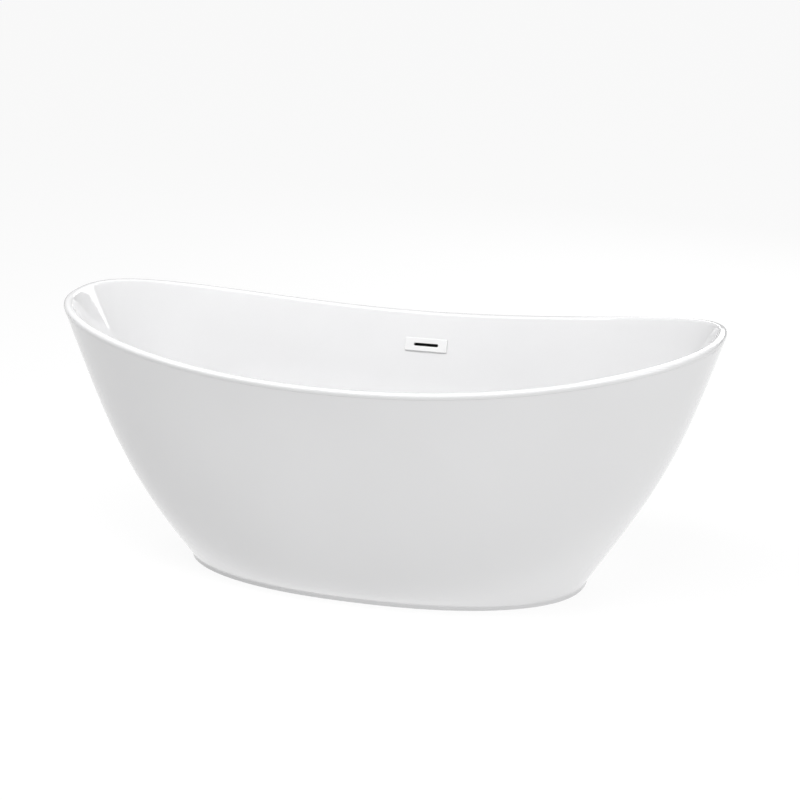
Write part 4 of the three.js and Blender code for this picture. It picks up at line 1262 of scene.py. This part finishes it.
def soft_light(name, size, energy, place, aim):
    """A rectangular soft box that faces a point."""
    data = bpy.data.lights.new(name, "AREA")
    data.shape = "RECTANGLE"
    data.size, data.size_y = size
    data.energy = energy
    light = bpy.data.objects.new(name, data)
    light.location = place
    light.rotation_euler = (Vector(aim) - Vector(place)).to_track_quat("-Z", "Y").to_euler()
    bpy.context.scene.collection.objects.link(light)


class BATHTUB_OT_studio(BuildStep, Operator):
    """Build the floor, the soft lights and the camera"""

    bl_idname = "bathtub.studio"
    bl_label = "Studio"

    def build(self, scene):
        studio = scene.bathtub_studio
        self.build_floor(studio)
        self.build_lights(scene, studio)
        self.build_camera(scene, studio)

    def build_floor(self, studio):
        half, z = FLOOR_HALF, -FLOOR_DROP
        mesh = bpy.data.meshes.new("studio_floor")
        corners = [(-half, -half, z), (half, -half, z), (half, half, z), (-half, half, z)]
        mesh.from_pydata(corners, [], [(0, 1, 2, 3)])
        floor = bpy.data.objects.new("studio_floor", mesh)
        bpy.context.scene.collection.objects.link(floor)
        finish = Finish("studio_floor", Roughness=0.9)
        finish.set("Base Color", tuple(studio.floor))
        finish.set("Specular IOR Level", 0.0)
        finish.set("Emission Color", (1.0, 1.0, 1.0))
        finish.set("Emission Strength", studio.floor_glow)
        mesh.materials.append(finish.material)

    def build_lights(self, scene, studio):
        world = bpy.data.worlds.new("studio_room")
        scene.world = world
        room = NodeTree(world, "ShaderNodeBackground", "ShaderNodeOutputWorld")
        height = room.axes(room.node("ShaderNodeTexCoord", output="Generated"))[2]
        room.set("Color", (1, 1, 1))
        room.set("Strength", height.ramp(0.3, 0.95, studio.horizon, studio.ceiling))
        soft_light("overhead_light", (3.2, 1.6), studio.key, (-0.2, -0.9, 3.0), (0, 0.1, 0.4))
        soft_light("side_light", (1.8, 1.8), studio.side, (3.4, -2.4, 1.3), (0.6, 0, 0.4))
        soft_light("rear_light", (2.6, 1.5), studio.rear, (0.6, 3.5, 2.1), (-0.3, 0, 0.5))
        scene.view_settings.view_transform = "Standard"

    def build_camera(self, scene, studio):
        azimuth, elevation, roll = studio.azimuth, studio.elevation, studio.roll
        flat = math.cos(elevation)
        back = Vector((math.sin(azimuth) * flat, -math.cos(azimuth) * flat, math.sin(elevation)))
        level = Vector((math.cos(azimuth), math.sin(azimuth), 0))
        upright = back.cross(level)
        right = level * math.cos(roll) + upright * math.sin(roll)
        up = upright * math.cos(roll) - level * math.sin(roll)
        data = bpy.data.cameras.new("studio_camera")
        data.sensor_width = 36
        data.lens = studio.lens
        data.clip_end = 200
        camera = bpy.data.objects.new("studio_camera", data)
        turn = Matrix((right, up, back)).transposed().to_4x4()
        camera.matrix_world = Matrix.Translation(Vector(studio.aim) + back * studio.distance) @ turn
        scene.collection.objects.link(camera)
        scene.camera = camera


# ---------------------------------------------------------------- panel and registration

STEPS = ("apron", "basin", "rim_bond", "board", "frame", "screws")
STEPS += ("feet", "waste", "overflow", "hose", "studio")


class BATHTUB_PT_panel(Panel):
    """Sizes, colours and build steps of the bathtub"""

    bl_idname = "BATHTUB_PT_panel"
    bl_label = "Bathtub"
    bl_space_type = "VIEW_3D"
    bl_region_type = "UI"
    bl_category = "Bathtub"

    def draw(self, context):
        scene = context.scene
        for group in (scene.bathtub_sizes, scene.bathtub_colours, scene.bathtub_studio):
            box = self.layout.box()
            for name in group.__annotations__:
                box.prop(group, name)
        for step in STEPS:
            self.layout.operator("bathtub." + step)


CLASSES = (
    BathtubSizes,
    BathtubColours,
    BathtubStudio,
    BATHTUB_OT_apron,
    BATHTUB_OT_basin,
    BATHTUB_OT_rim_bond,
    BATHTUB_OT_board,
    BATHTUB_OT_frame,
    BATHTUB_OT_screws,
    BATHTUB_OT_feet,
    BATHTUB_OT_waste,
    BATHTUB_OT_overflow,
    BATHTUB_OT_hose,
    BATHTUB_OT_studio,
    BATHTUB_PT_panel,
)


def register():
    for cls in CLASSES:
        bpy.utils.register_class(cls)
    bpy.types.Scene.bathtub_sizes = PointerProperty(type=BathtubSizes)
    bpy.types.Scene.bathtub_colours = PointerProperty(type=BathtubColours)
    bpy.types.Scene.bathtub_studio = PointerProperty(type=BathtubStudio)


def unregister():
    del bpy.types.Scene.bathtub_studio
    del bpy.types.Scene.bathtub_colours
    del bpy.types.Scene.bathtub_sizes
    for cls in reversed(CLASSES):
        bpy.utils.unregister_class(cls)


def main():
    register()
    for step in STEPS:
        getattr(bpy.ops.bathtub, step)()


if __name__ == "__main__":
    main()
